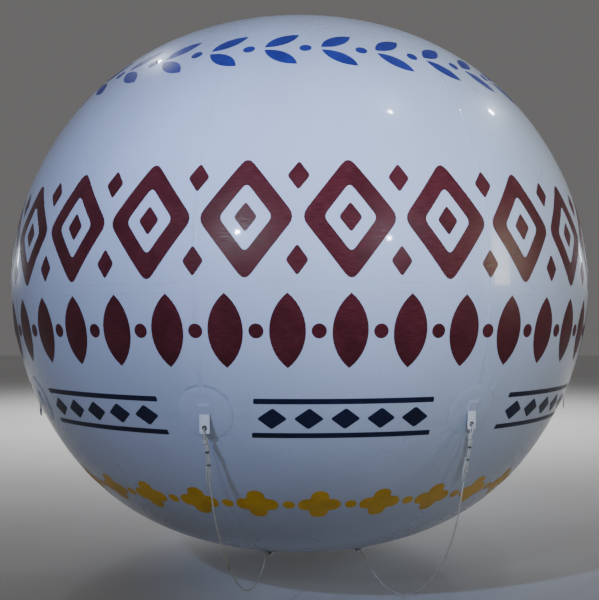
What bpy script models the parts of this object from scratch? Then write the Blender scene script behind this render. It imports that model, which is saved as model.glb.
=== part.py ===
"""Advertising sky balloon: a PVC envelope of eight gores, held in the air, with rope tabs all round.

Metres, +Z up. The origin is the centre of the envelope's widest circle. An azimuth of 0 degrees faces
-Y, the printed front, and grows towards +X.
"""

import math

import bmesh
import bpy
from mathutils import Matrix, Vector

# Envelope: a shell of revolution, a little fuller than an ellipse between the equator and the poles
EQUATOR_RADIUS = 1.829
UPPER_HEIGHT = 1.692
LOWER_HEIGHT = 1.653
UPPER_FULLNESS = 0.017
LOWER_FULLNESS = 0.031
WALL = 0.010

# Gores: one seam at each rope tab, and the same row heights on every gore
GORE_COUNT = 8
GORE_STEPS = 6
SEAM_GAP = 0.0008
FIRST_AZIMUTH = -15.2
TAB_LATITUDE = -23.65
BELAY_LATITUDE = -68.5
GORE_END_LATITUDE = 86.2
# (latitude in degrees where a run of rows ends, rows in that run), from the crown down
GORE_RUNS = ((0.0, 8), (TAB_LATITUDE, 3), (BELAY_LATITUDE, 4), (-GORE_END_LATITUDE, 2))

# Round caps over the gores' tips
CAP_EDGE_LATITUDE = 82.1
CAP_THICKNESS = 0.003
CAP_STEPS = 24
CAP_RINGS = 3
CAP_GAP = 0.0007

# Round patches: load patches behind the rope tabs, and small ones behind the belay loops
PATCH_GAP = 0.0006
PATCH_THICKNESS = 0.0025
PATCH_STEPS = 16
LOAD_PATCH_RADIUS = 0.136
BELAY_PATCH_RADIUS = 0.060

# Rope tabs: a flange on the patch and a strip that hangs from it, with a round eyelet
TAB_WIDTH = 0.051
TAB_THICKNESS = 0.003
TAB_FLANGE = 0.045
TAB_DROP = 0.094
TAB_BEND = 0.006
TAB_CORNER = 0.008
TAB_LEAN = 3.0
TAB_GAP = 0.0005
EYELET_DROP = 0.067
EYELET_HOLE_RADIUS = 0.006
EYELET_BARREL_RADIUS = 0.0074
EYELET_FLANGE_RADIUS = 0.0105
EYELET_LIP = 0.0010
EYELET_STEPS = 16
SEAT_GAP = 0.0003

# Ropes: a hitch through the eyelet, then a slack leg to a loop under the envelope
ROPE_DIAMETER = 0.008
ROPE_SIDES_RESOLUTION = 2
ROPE_POINT_SPACING = 0.024
KNOT_DROP = 0.063
KNOT_INSET = 0.012
KNOT_RADIUS = 0.0115
KNOT_HALF_HEIGHT = 0.017
KNOT_SIDES = 12
KNOT_RINGS = 8
# The bight on each side of the tab: (distance from the tab, distance below the eyelet's centre)
BIGHT_ROUTE = ((0.0068, 0.0027), (0.0100, 0.0067), (0.0105, 0.0137), (0.0095, 0.0300), (0.0065, 0.0440))
BIGHT_END = 0.004
# The spare end leaves the knot at (across, down) from its centre and follows the leg, this far across from it
TAIL_ROOT = (0.0030, 0.0102)
TAIL_OFFSET = 0.0090
TAIL_DROPS = (0.0225, 0.0350, 0.0600, 0.0950, 0.1300, 0.1600)

# Belay loops: a webbing strap bridged over a small patch
LOOP_WIDTH = 0.025
LOOP_THICKNESS = 0.0022
LOOP_HALF_SPAN = 0.020
LOOP_FOOT = 0.016
LOOP_RISE = 0.0145
LOOP_BEND = 0.005

# Inflation valve at the foot of the envelope, with a hinged lid
VALVE_BORE_RADIUS = 0.040
VALVE_COLLAR_RADIUS = 0.0465
VALVE_FLANGE_RADIUS = 0.075
VALVE_FLANGE_THICKNESS = 0.003
VALVE_COLLAR_HEIGHT = 0.021
VALVE_HOLE_RADIUS = 0.0478
VALVE_STEPS = 32
LID_RADIUS = 0.052
LID_THICKNESS = 0.004
LID_RIM = 0.0015
LID_RIM_WIDTH = 0.006
LID_RIM_SLOPE = 0.002
LID_ARM_INSET = 0.008
THUMB_TAB_WIDTH = 0.024
THUMB_TAB_REACH = 0.011
THUMB_TAB_THICKNESS = 0.0025
THUMB_TAB_CORNER = 0.005
THUMB_TAB_INSET = 0.004
HINGE_OFFSET = 0.084
HINGE_DROP = 0.0045
HINGE_PIN_RADIUS = 0.002
HINGE_KNUCKLE_RADIUS = 0.0045
HINGE_KNUCKLE_WIDTH = 0.015
HINGE_LUG_WIDTH = 0.004
HINGE_LUG_INSET = 0.007
HINGE_CLEARANCE = 0.0003
HINGE_STEPS = 16

# Construction
CORNER_STEPS = 3
CURVE_STEPS = 20
JOIN = 0.0005
OVERSHOOT = 0.003
MERGE = 1e-6
SHARP_ANGLE = 35.0

# Where each slack rope leg hangs: (node suffix, azimuth of its tab)
LEG_AZIMUTHS = (
    ("front_left", FIRST_AZIMUTH),
    ("front_right", FIRST_AZIMUTH + 45),
    ("rear_right", FIRST_AZIMUTH + 180),
    ("rear_left", FIRST_AZIMUTH + 225),
)
# Each leg's route in its own upright plane through the envelope's axis: (distance from the axis, height)
SNUG_ROUTE = (
    (1.6690, -0.8208), (1.6590, -0.8600), (1.6360, -0.9350), (1.6010, -1.0450),
    (1.5480, -1.1800), (1.4900, -1.2850), (1.4200, -1.3900), (1.3300, -1.4950),
    (1.2200, -1.5950), (1.1000, -1.6640), (0.9850, -1.6900), (0.8900, -1.6790),
    (0.8100, -1.6480), (0.7700, -1.6130), (0.7430, -1.5905), (0.7200, -1.5782),
    (0.7030, -1.5766), (0.6860, -1.5812),
)
LOOSE_ROUTE = (
    (1.6690, -0.8208), (1.6610, -0.8600), (1.6440, -0.9350), (1.6120, -1.0750),
    (1.5720, -1.2300), (1.5240, -1.3480), (1.4620, -1.4600), (1.3700, -1.5720),
    (1.2600, -1.6600), (1.1450, -1.7100), (1.0250, -1.7230), (0.9150, -1.7000),
    (0.8250, -1.6560), (0.7720, -1.6130), (0.7430, -1.5905), (0.7200, -1.5782),
    (0.7030, -1.5766), (0.6860, -1.5812),
)
LEG_ROUTES = {
    "front_left": SNUG_ROUTE,
    "front_right": LOOSE_ROUTE,
    "rear_right": SNUG_ROUTE,
    "rear_left": LOOSE_ROUTE,
}

PVC_WHITE = ("pvc_white", (0.74, 0.76, 0.80), 0.22, 0.0)
PVC_PATCH = ("pvc_patch", (0.72, 0.74, 0.78), 0.26, 0.0)
TAB_WEBBING = ("tab_webbing", (0.80, 0.80, 0.78), 0.55, 0.0)
EYELET_METAL = ("eyelet_metal", (0.62, 0.60, 0.55), 0.32, 1.0)
ROPE_FIBRE = ("rope_fibre", (0.78, 0.77, 0.72), 0.85, 0.0)
VALVE_PLASTIC = ("valve_plastic", (0.30, 0.32, 0.35), 0.45, 0.0)


def clear_scene():
    for obj in list(bpy.data.objects):
        bpy.data.objects.remove(obj, do_unlink=True)


def material(look):
    name, colour, roughness, metallic = look
    made = bpy.data.materials.get(name)
    if made is None:
        made = bpy.data.materials.new(name)
        made.use_nodes = True
        shader = made.node_tree.nodes["Principled BSDF"]
        shader.inputs["Base Color"].default_value = (*colour, 1.0)
        shader.inputs["Roughness"].default_value = roughness
        shader.inputs["Metallic"].default_value = metallic
    return made


def station(name, azimuth):
    """An empty on the envelope's axis, turned so that its -Y faces an azimuth."""
    empty = bpy.data.objects.new(name, None)
    empty.rotation_euler.z = math.radians(azimuth)
    bpy.context.collection.objects.link(empty)
    return empty


def mesh_of(bm, name):
    bmesh.ops.recalc_face_normals(bm, faces=bm.faces)
    if bm.calc_volume(signed=True) < 0:
        bmesh.ops.reverse_faces(bm, faces=bm.faces)
    mesh = bpy.data.meshes.new(name)
    bm.to_mesh(mesh)
    bm.free()
    mesh.shade_smooth()
    mesh.set_sharp_from_angle(angle=math.radians(SHARP_ANGLE))
    return mesh


def place(name, mesh, look, parent=None):
    obj = bpy.data.objects.new(name, mesh)
    if not mesh.materials:
        mesh.materials.append(material(look))
    obj.parent = parent
    bpy.context.collection.objects.link(obj)
    return obj


def helper(name, mesh, parent=None):
    """A shape that a Boolean joins to or cuts from another."""
    obj = bpy.data.objects.new(name, mesh)
    obj.hide_render = True
    obj.display_type = "WIRE"
    obj.parent = parent
    bpy.context.collection.objects.link(obj)
    return obj


def boolean(obj, operation, other):
    modifier = obj.modifiers.new(f"{operation.lower()}_{other.name}", "BOOLEAN")
    modifier.operation = operation
    modifier.solver = "EXACT"
    modifier.object = other


def meridian(latitude, offset=0.0):
    """(distance from the axis, height) on the envelope, moved out along its normal by offset."""

    def bare(angle):
        fullness, height = (UPPER_FULLNESS, UPPER_HEIGHT) if angle >= 0 else (LOWER_FULLNESS, LOWER_HEIGHT)
        swell = 1 + fullness * math.sin(angle) ** 4 * math.cos(angle) ** 2 * 27 / 4
        return Vector((EQUATOR_RADIUS * math.cos(angle) * swell, height * math.sin(angle) * swell))

    angle = math.radians(latitude)
    step = 1e-4
    tangent = (bare(angle + step) - bare(angle - step)).normalized()
    return bare(angle) + Vector((tangent.y, -tangent.x)) * offset


def lay_on_envelope(bm, latitude, verts=None):
    """Bends a flat shape onto the envelope at azimuth 0: x across, y up the meridian, z outwards."""
    radius = meridian(latitude).x
    one_degree = (meridian(latitude + 0.5) - meridian(latitude - 0.5)).length
    for vert in verts or bm.verts:
        out, height = meridian(latitude + vert.co.y / one_degree, vert.co.z)
        turn = vert.co.x / radius
        vert.co = Vector((out * math.sin(turn), -out * math.cos(turn), height))


def polygon(bm, points):
    return bm.faces.new([bm.verts.new(point) for point in points])


def turned(profile, steps, closed):
    """A solid turned about Z from a list of (radius, height)."""
    bm = bmesh.new()
    verts = [bm.verts.new((radius, 0, height)) for radius, height in profile]
    pairs = list(zip(verts, verts[1:]))
    if closed:
        pairs.append((verts[-1], verts[0]))
    section = verts + [bm.edges.new(pair) for pair in pairs]
    whole = {"cent": (0, 0, 0), "axis": (0, 0, 1), "angle": math.tau, "use_merge": True}
    bmesh.ops.spin(bm, geom=section, steps=steps, **whole)
    bmesh.ops.remove_doubles(bm, verts=bm.verts, dist=MERGE)
    return bm


def prism(bm, points, along):
    """Extrudes a flat outline into a solid."""
    face = polygon(bm, points)
    extruded = bmesh.ops.extrude_face_region(bm, geom=[face])["geom"]
    moved = [item for item in extruded if isinstance(item, bmesh.types.BMVert)]
    bmesh.ops.translate(bm, verts=moved, vec=along)


def arc(centre, radius, start, end, steps):
    """Points of an arc as (x, y), from one angle in degrees to another."""
    for i in range(steps + 1):
        angle = math.radians(start + (end - start) * i / steps)
        yield centre[0] + radius * math.cos(angle), centre[1] + radius * math.sin(angle)


def smooth_through(points, spacing):
    """Evenly spaced points on a smooth curve through the given ones."""
    points = [Vector(point) for point in points]
    padded = [2 * points[0] - points[1], *points, 2 * points[-1] - points[-2]]
    fine = []
    for before, start, end, after in zip(padded, padded[1:], padded[2:], padded[3:]):
        for i in range(CURVE_STEPS):
            t = i / CURVE_STEPS
            fine.append(
                0.5 * (2 * start + (end - before) * t
                       + (2 * before - 5 * start + 4 * end - after) * t * t
                       + (3 * start - before - 3 * end + after) * t ** 3)
            )
    fine.append(points[-1])
    along = [0.0]
    for a, b in zip(fine, fine[1:]):
        along.append(along[-1] + (b - a).length)
    count = max(2, round(along[-1] / spacing))
    spaced = []
    segment = 0
    for i in range(count + 1):
        target = along[-1] * i / count
        while segment < len(fine) - 2 and along[segment + 1] < target:
            segment += 1
        share = (target - along[segment]) / (along[segment + 1] - along[segment])
        spaced.append(fine[segment].lerp(fine[segment + 1], min(share, 1.0)))
    return spaced


def rope_curve(name, points):
    curve = bpy.data.curves.new(name, "CURVE")
    curve.dimensions = "3D"
    curve.bevel_depth = ROPE_DIAMETER / 2
    curve.bevel_resolution = ROPE_SIDES_RESOLUTION
    curve.use_fill_caps = True
    spline = curve.splines.new("POLY")
    spline.points.add(len(points) - 1)
    for spline_point, point in zip(spline.points, points):
        spline_point.co = (*point, 1.0)
    return curve


def rope_mesh(name, points):
    """The rope's tube as a mesh, for joining to a knot."""
    obj = bpy.data.objects.new(name, rope_curve(name, points))
    mesh = bpy.data.meshes.new_from_object(obj)
    bpy.data.objects.remove(obj, do_unlink=True)
    bm = bmesh.new()
    bm.from_mesh(mesh)
    bpy.data.meshes.remove(mesh)
    bmesh.ops.remove_doubles(bm, verts=bm.verts, dist=MERGE)
    return mesh_of(bm, name)


def gore_latitudes():
    latitudes = [GORE_END_LATITUDE]
    for end, rows in GORE_RUNS:
        start = latitudes[-1]
        latitudes += [start + (end - start) * (i + 1) / rows for i in range(rows)]
    return latitudes


def gore_mesh():
    """One gore of the shell, from a seam at azimuth 0 to the next, swept from its cross-section."""
    latitudes = gore_latitudes()
    outer = [meridian(latitude) for latitude in latitudes]
    inner = [meridian(latitude, -WALL) for latitude in reversed(latitudes)]
    bm = bmesh.new()
    section = polygon(bm, [(0, -point.x, point.y) for point in outer + inner])
    half_gap = SEAM_GAP / 2 / EQUATOR_RADIUS
    bmesh.ops.rotate(bm, verts=bm.verts, cent=(0, 0, 0), matrix=Matrix.Rotation(half_gap, 3, "Z"))
    bmesh.ops.spin(
        bm,
        geom=[section, *section.edges, *section.verts],
        cent=(0, 0, 0),
        axis=(0, 0, 1),
        angle=math.tau / GORE_COUNT - 2 * half_gap,
        steps=GORE_STEPS,
    )
    return mesh_of(bm, "gore")


def cap_mesh(name, upside, hole_radius):
    """A round cap laid over the gores' tips; upside is 1 at the crown and -1 at the foot."""
    inner_latitude = 90.0 if hole_radius == 0 else math.degrees(math.acos(hole_radius / EQUATOR_RADIUS))
    step = (CAP_EDGE_LATITUDE - inner_latitude) / CAP_RINGS
    latitudes = [inner_latitude + step * i for i in range(CAP_RINGS + 1)]
    face = [meridian(upside * latitude, CAP_GAP + CAP_THICKNESS) for latitude in latitudes]
    back = [meridian(upside * latitude, CAP_GAP) for latitude in reversed(latitudes)]
    profile = [(abs(point.x), point.y) for point in face + back]
    if hole_radius == 0:
        profile[0] = (0.0, profile[0][1])
        profile[-1] = (0.0, profile[-1][1])
    return mesh_of(turned(profile, CAP_STEPS, closed=hole_radius > 0), name)


def patch_mesh(name, latitude, radius):
    """A round reinforcing patch laid on the envelope."""
    top = PATCH_GAP + PATCH_THICKNESS
    face = [(0, top), (radius / 2, top), (radius, top)]
    profile = face + [(out, PATCH_GAP) for out, _ in reversed(face)]
    bm = turned(profile, PATCH_STEPS, closed=False)
    lay_on_envelope(bm, latitude)
    return mesh_of(bm, name)


def tab_frame():
    """The rope tab's hanging plane at azimuth 0: (its root, the way down it, its outward normal)."""
    out, height = meridian(TAB_LATITUDE, PATCH_GAP + PATCH_THICKNESS + TAB_GAP)
    lean = math.radians(TAB_LEAN)
    root = Vector((0, -out, height))
    down = Vector((0, math.sin(lean), -math.cos(lean)))
    outward = Vector((0, -math.cos(lean), -math.sin(lean)))
    return root, down, outward


def tab_mesh():
    """A strip whose upper flange lies on the load patch and whose lower part hangs, with a hole."""
    half = TAB_WIDTH / 2
    hole_radius = EYELET_BARREL_RADIUS + SEAT_GAP
    low = -TAB_DROP + TAB_CORNER
    outline = [(half, -TAB_BEND)]
    outline += list(arc((half - TAB_CORNER, low), TAB_CORNER, 0, -90, CORNER_STEPS))
    outline += list(arc((-half + TAB_CORNER, low), TAB_CORNER, -90, -180, CORNER_STEPS))
    outline += [(-half, -TAB_BEND)]
    hole = list(arc((0, -EYELET_DROP), hole_radius, 0, 360, EYELET_STEPS))[:-1]

    bm = bmesh.new()
    edges = []
    for loop in (outline, hole):
        verts = [bm.verts.new((x, y, 0)) for x, y in loop]
        edges += [bm.edges.new(pair) for pair in zip(verts, verts[1:] + verts[:1])]
    bmesh.ops.triangle_fill(bm, edges=edges, use_dissolve=False)
    top_edge = [edge for edge in bm.edges if all(vert.co.y > -TAB_BEND - MERGE for vert in edge.verts)]
    for rise in (TAB_BEND, TAB_FLANGE / 2, TAB_FLANGE / 2):
        extruded = bmesh.ops.extrude_edge_only(bm, edges=top_edge)["geom"]
        top_verts = [item for item in extruded if isinstance(item, bmesh.types.BMVert)]
        bmesh.ops.translate(bm, verts=top_verts, vec=(0, rise, 0))
        top_edge = [item for item in extruded if isinstance(item, bmesh.types.BMEdge)]
        top_edge = [edge for edge in top_edge if all(vert in top_verts for vert in edge.verts)]
    bmesh.ops.recalc_face_normals(bm, faces=bm.faces)
    extruded = bmesh.ops.extrude_face_region(bm, geom=bm.faces[:])["geom"]
    raised = [item for item in extruded if isinstance(item, bmesh.types.BMVert)]
    bmesh.ops.translate(bm, verts=raised, vec=(0, 0, TAB_THICKNESS))

    root, down, outward = tab_frame()
    on_patch = [vert for vert in bm.verts if vert.co.y > -MERGE]
    hanging = [vert for vert in bm.verts if vert.co.y <= -MERGE]
    for vert in hanging:
        vert.co = root + Vector((vert.co.x, 0, 0)) - down * vert.co.y + outward * vert.co.z
    for vert in on_patch:
        vert.co.z += PATCH_GAP + PATCH_THICKNESS + TAB_GAP
    lay_on_envelope(bm, TAB_LATITUDE, on_patch)
    return mesh_of(bm, "rope_tab")


def eyelet_centre():
    root, down, outward = tab_frame()
    return root + down * EYELET_DROP + outward * TAB_THICKNESS / 2


def eyelet_mesh():
    """A rolled metal eyelet: a barrel through the tab with a flange on each face."""
    seat = TAB_THICKNESS / 2 + SEAT_GAP
    face = seat + EYELET_LIP
    profile = [
        (EYELET_HOLE_RADIUS, face), (EYELET_FLANGE_RADIUS, face), (EYELET_FLANGE_RADIUS, seat),
        (EYELET_BARREL_RADIUS, seat), (EYELET_BARREL_RADIUS, -seat), (EYELET_FLANGE_RADIUS, -seat),
        (EYELET_FLANGE_RADIUS, -face), (EYELET_HOLE_RADIUS, -face),
    ]
    bm = turned(profile, EYELET_STEPS, closed=True)
    turn = Vector((0, 0, 1)).rotation_difference(tab_frame()[2]).to_matrix().to_4x4()
    bmesh.ops.transform(bm, verts=bm.verts, matrix=Matrix.Translation(eyelet_centre()) @ turn)
    return mesh_of(bm, "eyelet")


def knot_centre():
    return eyelet_centre() + Vector((0, KNOT_INSET, -KNOT_DROP))


def knot_mesh():
    bm = bmesh.new()
    bmesh.ops.create_uvsphere(bm, u_segments=KNOT_SIDES, v_segments=KNOT_RINGS, radius=1.0)
    bmesh.ops.scale(bm, verts=bm.verts, vec=(KNOT_RADIUS, KNOT_RADIUS, KNOT_HALF_HEIGHT))
    bmesh.ops.translate(bm, verts=bm.verts, vec=knot_centre())
    return mesh_of(bm, "rope_hitch")


def bight_mesh():
    """The rope's bend through the eyelet, with both its ends inside the knot."""
    centre = eyelet_centre()
    _, down, outward = tab_frame()
    knot = knot_centre()
    middle = centre + down * (EYELET_HOLE_RADIUS - ROPE_DIAMETER / 2 - SEAT_GAP)
    front = [centre + outward * out + down * drop for out, drop in BIGHT_ROUTE]
    back = [centre - outward * out + down * drop for out, drop in BIGHT_ROUTE]
    path = [knot + outward * BIGHT_END, *reversed(front), middle, *back, knot - outward * BIGHT_END]
    return rope_mesh("bight", path)


def leg_line(route):
    """A leg's centreline, from its knot's centre to its end."""
    points = [(0, -out, height) for out, height in route]
    return [knot_centre(), *smooth_through(points, ROPE_POINT_SPACING)]


def beside_leg(line, height):
    """The place beside a leg's line, near its top, where the spare end passes at a height."""
    above, below = next(pair for pair in zip(line, line[1:]) if pair[1].z <= height)
    share = (above.z - height) / (above.z - below.z)
    return above.lerp(below, share) + Vector((TAIL_OFFSET, 0, 0))


def tail_mesh(line):
    """The rope's spare end, which hangs from the knot close beside the leg."""
    knot = knot_centre()
    across, down = TAIL_ROOT
    path = [knot + Vector((across, 0, -down))]
    path += [beside_leg(line, knot.z - drop) for drop in TAIL_DROPS]
    return rope_mesh("tail", path)


def belay_loop_mesh():
    """A webbing strap whose feet lie on the belay patch and whose middle bridges over the rope."""
    base = PATCH_GAP + PATCH_THICKNESS + TAB_GAP
    inner_bend = LOOP_BEND - LOOP_THICKNESS
    side = LOOP_HALF_SPAN + LOOP_THICKNESS
    toe = LOOP_HALF_SPAN + LOOP_FOOT
    top = base + LOOP_RISE
    right = [(toe, base), (toe, base + LOOP_THICKNESS), (side, base + LOOP_THICKNESS)]
    right += list(arc((side - LOOP_BEND, top - LOOP_BEND), LOOP_BEND, 0, 90, CORNER_STEPS))
    under = [(LOOP_HALF_SPAN, base)]
    under += list(arc((side - LOOP_BEND, top - LOOP_BEND), inner_bend, 0, 90, CORNER_STEPS))
    outline = right + [(-x, z) for x, z in reversed(right)]
    outline += [(-x, z) for x, z in under] + list(reversed(under))
    bm = bmesh.new()
    half = LOOP_WIDTH / 2
    prism(bm, [(x, -half, z) for x, z in outline], (0, LOOP_WIDTH, 0))
    lay_on_envelope(bm, BELAY_LATITUDE)
    return mesh_of(bm, "belay_loop")


def foot_height():
    """Height of the base cap's outer face at the edge of the valve's hole, the valve's seat."""
    latitude = -math.degrees(math.acos(VALVE_HOLE_RADIUS / EQUATOR_RADIUS))
    return meridian(latitude, CAP_GAP + CAP_THICKNESS).y


def flange_face():
    return foot_height() - SEAT_GAP - VALVE_FLANGE_THICKNESS


def hinge_axis():
    return Vector((0, HINGE_OFFSET, flange_face() - HINGE_DROP))


def hinge_cylinder(name, radius, width):
    """A cylinder along X, centred on the hinge axis."""
    bm = bmesh.new()
    bmesh.ops.create_cone(bm, cap_ends=True, segments=HINGE_STEPS, radius1=radius, radius2=radius, depth=width)
    turn = Matrix.Rotation(math.pi / 2, 4, "Y")
    bmesh.ops.transform(bm, verts=bm.verts, matrix=Matrix.Translation(hinge_axis()) @ turn)
    return mesh_of(bm, name)


def valve_body_mesh():
    top = foot_height() - SEAT_GAP
    face = flange_face()
    collar_top = top + VALVE_COLLAR_HEIGHT
    profile = [
        (VALVE_BORE_RADIUS, collar_top), (VALVE_COLLAR_RADIUS, collar_top), (VALVE_COLLAR_RADIUS, top),
        (VALVE_FLANGE_RADIUS, top), (VALVE_FLANGE_RADIUS, face), (VALVE_BORE_RADIUS, face),
    ]
    return mesh_of(turned(profile, VALVE_STEPS, closed=True), "valve_body")


def hinge_lug_mesh(side):
    """One of the two lugs that carry the lid's pin, from the valve's flange to past the hinge axis."""
    axis = hinge_axis()
    inside = HINGE_KNUCKLE_WIDTH / 2 + HINGE_CLEARANCE
    start = inside if side > 0 else -inside - HINGE_LUG_WIDTH
    root = VALVE_FLANGE_RADIUS - HINGE_LUG_INSET
    outline = [(root, flange_face() + JOIN), (root, axis.z + JOIN)]
    outline += list(arc((axis.y, axis.z), HINGE_KNUCKLE_RADIUS, -120, 90, 2 * CORNER_STEPS))
    outline += [(VALVE_FLANGE_RADIUS - OVERSHOOT, foot_height() - SEAT_GAP - JOIN)]
    bm = bmesh.new()
    prism(bm, [(start, y, z) for y, z in outline], (HINGE_LUG_WIDTH, 0, 0))
    return mesh_of(bm, "hinge_lug")


def lid_mesh():
    """The lid's disc, with a thin raised rim on its outer face."""
    seat = flange_face() - SEAT_GAP
    face = seat - LID_THICKNESS
    rim = LID_RADIUS - LID_RIM_WIDTH
    profile = [
        (0, seat), (LID_RADIUS, seat), (LID_RADIUS, face - LID_RIM),
        (rim, face - LID_RIM), (rim - LID_RIM_SLOPE, face), (0, face),
    ]
    return mesh_of(turned(profile, VALVE_STEPS, closed=False), "valve_lid")


def lid_arm_mesh():
    """The arm from the lid's disc to its hinge knuckle."""
    axis = hinge_axis()
    top = flange_face() - SEAT_GAP - JOIN
    half = HINGE_KNUCKLE_WIDTH / 2
    start = LID_RADIUS - LID_ARM_INSET
    outline = [(start, top), (start, axis.z), (axis.y - HINGE_PIN_RADIUS, axis.z - OVERSHOOT)]
    outline += [(axis.y - JOIN, axis.z + HINGE_PIN_RADIUS), (VALVE_FLANGE_RADIUS, top)]
    bm = bmesh.new()
    prism(bm, [(-half, y, z) for y, z in outline], (2 * half, 0, 0))
    return mesh_of(bm, "lid_arm")


def thumb_tab_mesh():
    """The small tongue that a thumb lifts, opposite the hinge."""
    top = flange_face() - SEAT_GAP - JOIN
    half = THUMB_TAB_WIDTH / 2
    tip = -LID_RADIUS - THUMB_TAB_REACH
    right = [(half, -LID_RADIUS + THUMB_TAB_INSET), (half, tip + THUMB_TAB_CORNER)]
    right.append((half - THUMB_TAB_CORNER, tip))
    outline = right + [(-x, y) for x, y in reversed(right)]
    bm = bmesh.new()
    prism(bm, [(x, y, top) for x, y in outline], (0, 0, -THUMB_TAB_THICKNESS))
    return mesh_of(bm, "thumb_tab")


def build_envelope(seams):
    gore = gore_mesh()
    for number, seam in enumerate(seams, start=1):
        place(f"envelope_gore_{number}", gore, PVC_WHITE, seam)
    place("crown_cap", cap_mesh("crown_cap", 1, 0), PVC_PATCH)
    place("base_cap", cap_mesh("base_cap", -1, VALVE_HOLE_RADIUS), PVC_PATCH)


def build_rope_tabs(seams):
    patch = patch_mesh("load_patch", TAB_LATITUDE, LOAD_PATCH_RADIUS)
    tab = tab_mesh()
    eyelet = eyelet_mesh()
    for number, seam in enumerate(seams, start=1):
        place(f"load_patch_{number}", patch, PVC_PATCH, seam)
        place(f"rope_tab_{number}", tab, TAB_WEBBING, seam)
        place(f"eyelet_{number}", eyelet, EYELET_METAL, seam)


def build_rope_legs():
    patch = patch_mesh("belay_patch", BELAY_LATITUDE, BELAY_PATCH_RADIUS)
    loop = belay_loop_mesh()
    knot = knot_mesh()
    bight = bight_mesh()
    for suffix, azimuth in LEG_AZIMUTHS:
        point = station(f"leg_station_{suffix}", azimuth)
        place(f"belay_patch_{suffix}", patch, PVC_PATCH, point)
        place(f"belay_loop_{suffix}", loop, TAB_WEBBING, point)
        hitch = place(f"rope_hitch_{suffix}", knot, ROPE_FIBRE, point)
        boolean(hitch, "UNION", helper(f"bight_{suffix}", bight, point))
        line = leg_line(LEG_ROUTES[suffix])
        boolean(hitch, "UNION", helper(f"tail_{suffix}", tail_mesh(line), point))
        leg = rope_curve(f"rope_leg_{suffix}", line[1:])
        leg.materials.append(material(ROPE_FIBRE))
        obj = bpy.data.objects.new(f"rope_leg_{suffix}", leg)
        obj.parent = point
        bpy.context.collection.objects.link(obj)


def build_valve():
    body = place("valve_body", valve_body_mesh(), VALVE_PLASTIC)
    for name, side in (("right", 1), ("left", -1)):
        boolean(body, "UNION", helper(f"hinge_lug_{name}", hinge_lug_mesh(side)))
    pin_width = HINGE_KNUCKLE_WIDTH + 2 * HINGE_CLEARANCE + HINGE_LUG_WIDTH
    boolean(body, "UNION", helper("hinge_pin", hinge_cylinder("hinge_pin", HINGE_PIN_RADIUS, pin_width)))

    hinge = bpy.data.objects.new("lid_hinge", None)
    hinge.location = hinge_axis()
    bpy.context.collection.objects.link(hinge)
    lid = place("valve_lid", lid_mesh(), VALVE_PLASTIC)
    bore_radius = HINGE_PIN_RADIUS + HINGE_CLEARANCE
    parts = (
        ("UNION", lid_arm_mesh()),
        ("UNION", hinge_cylinder("lid_knuckle", HINGE_KNUCKLE_RADIUS, HINGE_KNUCKLE_WIDTH)),
        ("UNION", thumb_tab_mesh()),
        ("DIFFERENCE", hinge_cylinder("pin_bore", bore_radius, HINGE_KNUCKLE_WIDTH + 2 * OVERSHOOT)),
    )
    for operation, mesh in parts:
        boolean(lid, operation, helper(mesh.name, mesh))
    bpy.context.view_layer.update()
    for obj in (lid, *(modifier.object for modifier in lid.modifiers)):
        obj.parent = hinge
        obj.matrix_parent_inverse = hinge.matrix_world.inverted()


clear_scene()
seam_azimuths = [FIRST_AZIMUTH + number * 360 / GORE_COUNT for number in range(GORE_COUNT)]
seam_stations = [station(f"seam_{number}", azimuth) for number, azimuth in enumerate(seam_azimuths, start=1)]
build_envelope(seam_stations)
build_rope_tabs(seam_stations)
build_rope_legs()
build_valve()
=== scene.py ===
import math
import random

import bmesh
import bpy
from mathutils import Matrix, Vector


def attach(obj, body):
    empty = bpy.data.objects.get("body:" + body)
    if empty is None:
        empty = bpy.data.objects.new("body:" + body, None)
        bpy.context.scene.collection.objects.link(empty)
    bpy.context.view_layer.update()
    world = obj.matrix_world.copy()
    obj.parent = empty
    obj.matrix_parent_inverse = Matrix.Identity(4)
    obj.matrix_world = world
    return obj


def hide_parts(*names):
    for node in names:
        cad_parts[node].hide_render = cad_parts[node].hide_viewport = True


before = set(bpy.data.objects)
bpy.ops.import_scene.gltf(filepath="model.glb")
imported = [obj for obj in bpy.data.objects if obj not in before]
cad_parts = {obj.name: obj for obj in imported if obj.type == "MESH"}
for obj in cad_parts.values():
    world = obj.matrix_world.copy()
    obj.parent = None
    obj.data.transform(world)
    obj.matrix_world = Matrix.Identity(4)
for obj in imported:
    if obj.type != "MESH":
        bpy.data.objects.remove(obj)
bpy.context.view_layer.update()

# Azimuths are in degrees from -Y, the printed front, and grow towards +X. Lengths are in metres.

# Steps round a smooth circle, and the angle in degrees over which an edge is shaded sharp
ROUND_STEPS = 96
SHARP_ANGLE = 35.0

# Camera at a standing person's eye height, in front of the balloon
CAMERA_DISTANCE = 5.312
CAMERA_HEIGHT = -0.2687
CAMERA_PITCH = 2.035
CAMERA_LENS = 47.28
FLOOR_HEIGHT = -1.90
FLOOR_RADIUS = 45.0

# Envelope: a shell of revolution, a little fuller than an ellipse
EQUATOR_RADIUS = 1.829
UPPER_HEIGHT = 1.692
LOWER_HEIGHT = 1.653
UPPER_FULLNESS = 0.017
LOWER_FULLNESS = 0.031
SKIN_STEPS = 192
SKIN_ROWS = 128
FILM_THICKNESS = 0.0008
FILM_COLOUR = (0.471, 0.514, 0.610)
# Metres along the film for each metre of height, at the load patches
FILM_SLANT = 1.08
SETTING_OUT_HEIGHTS = (-0.064, -0.108)

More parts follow.
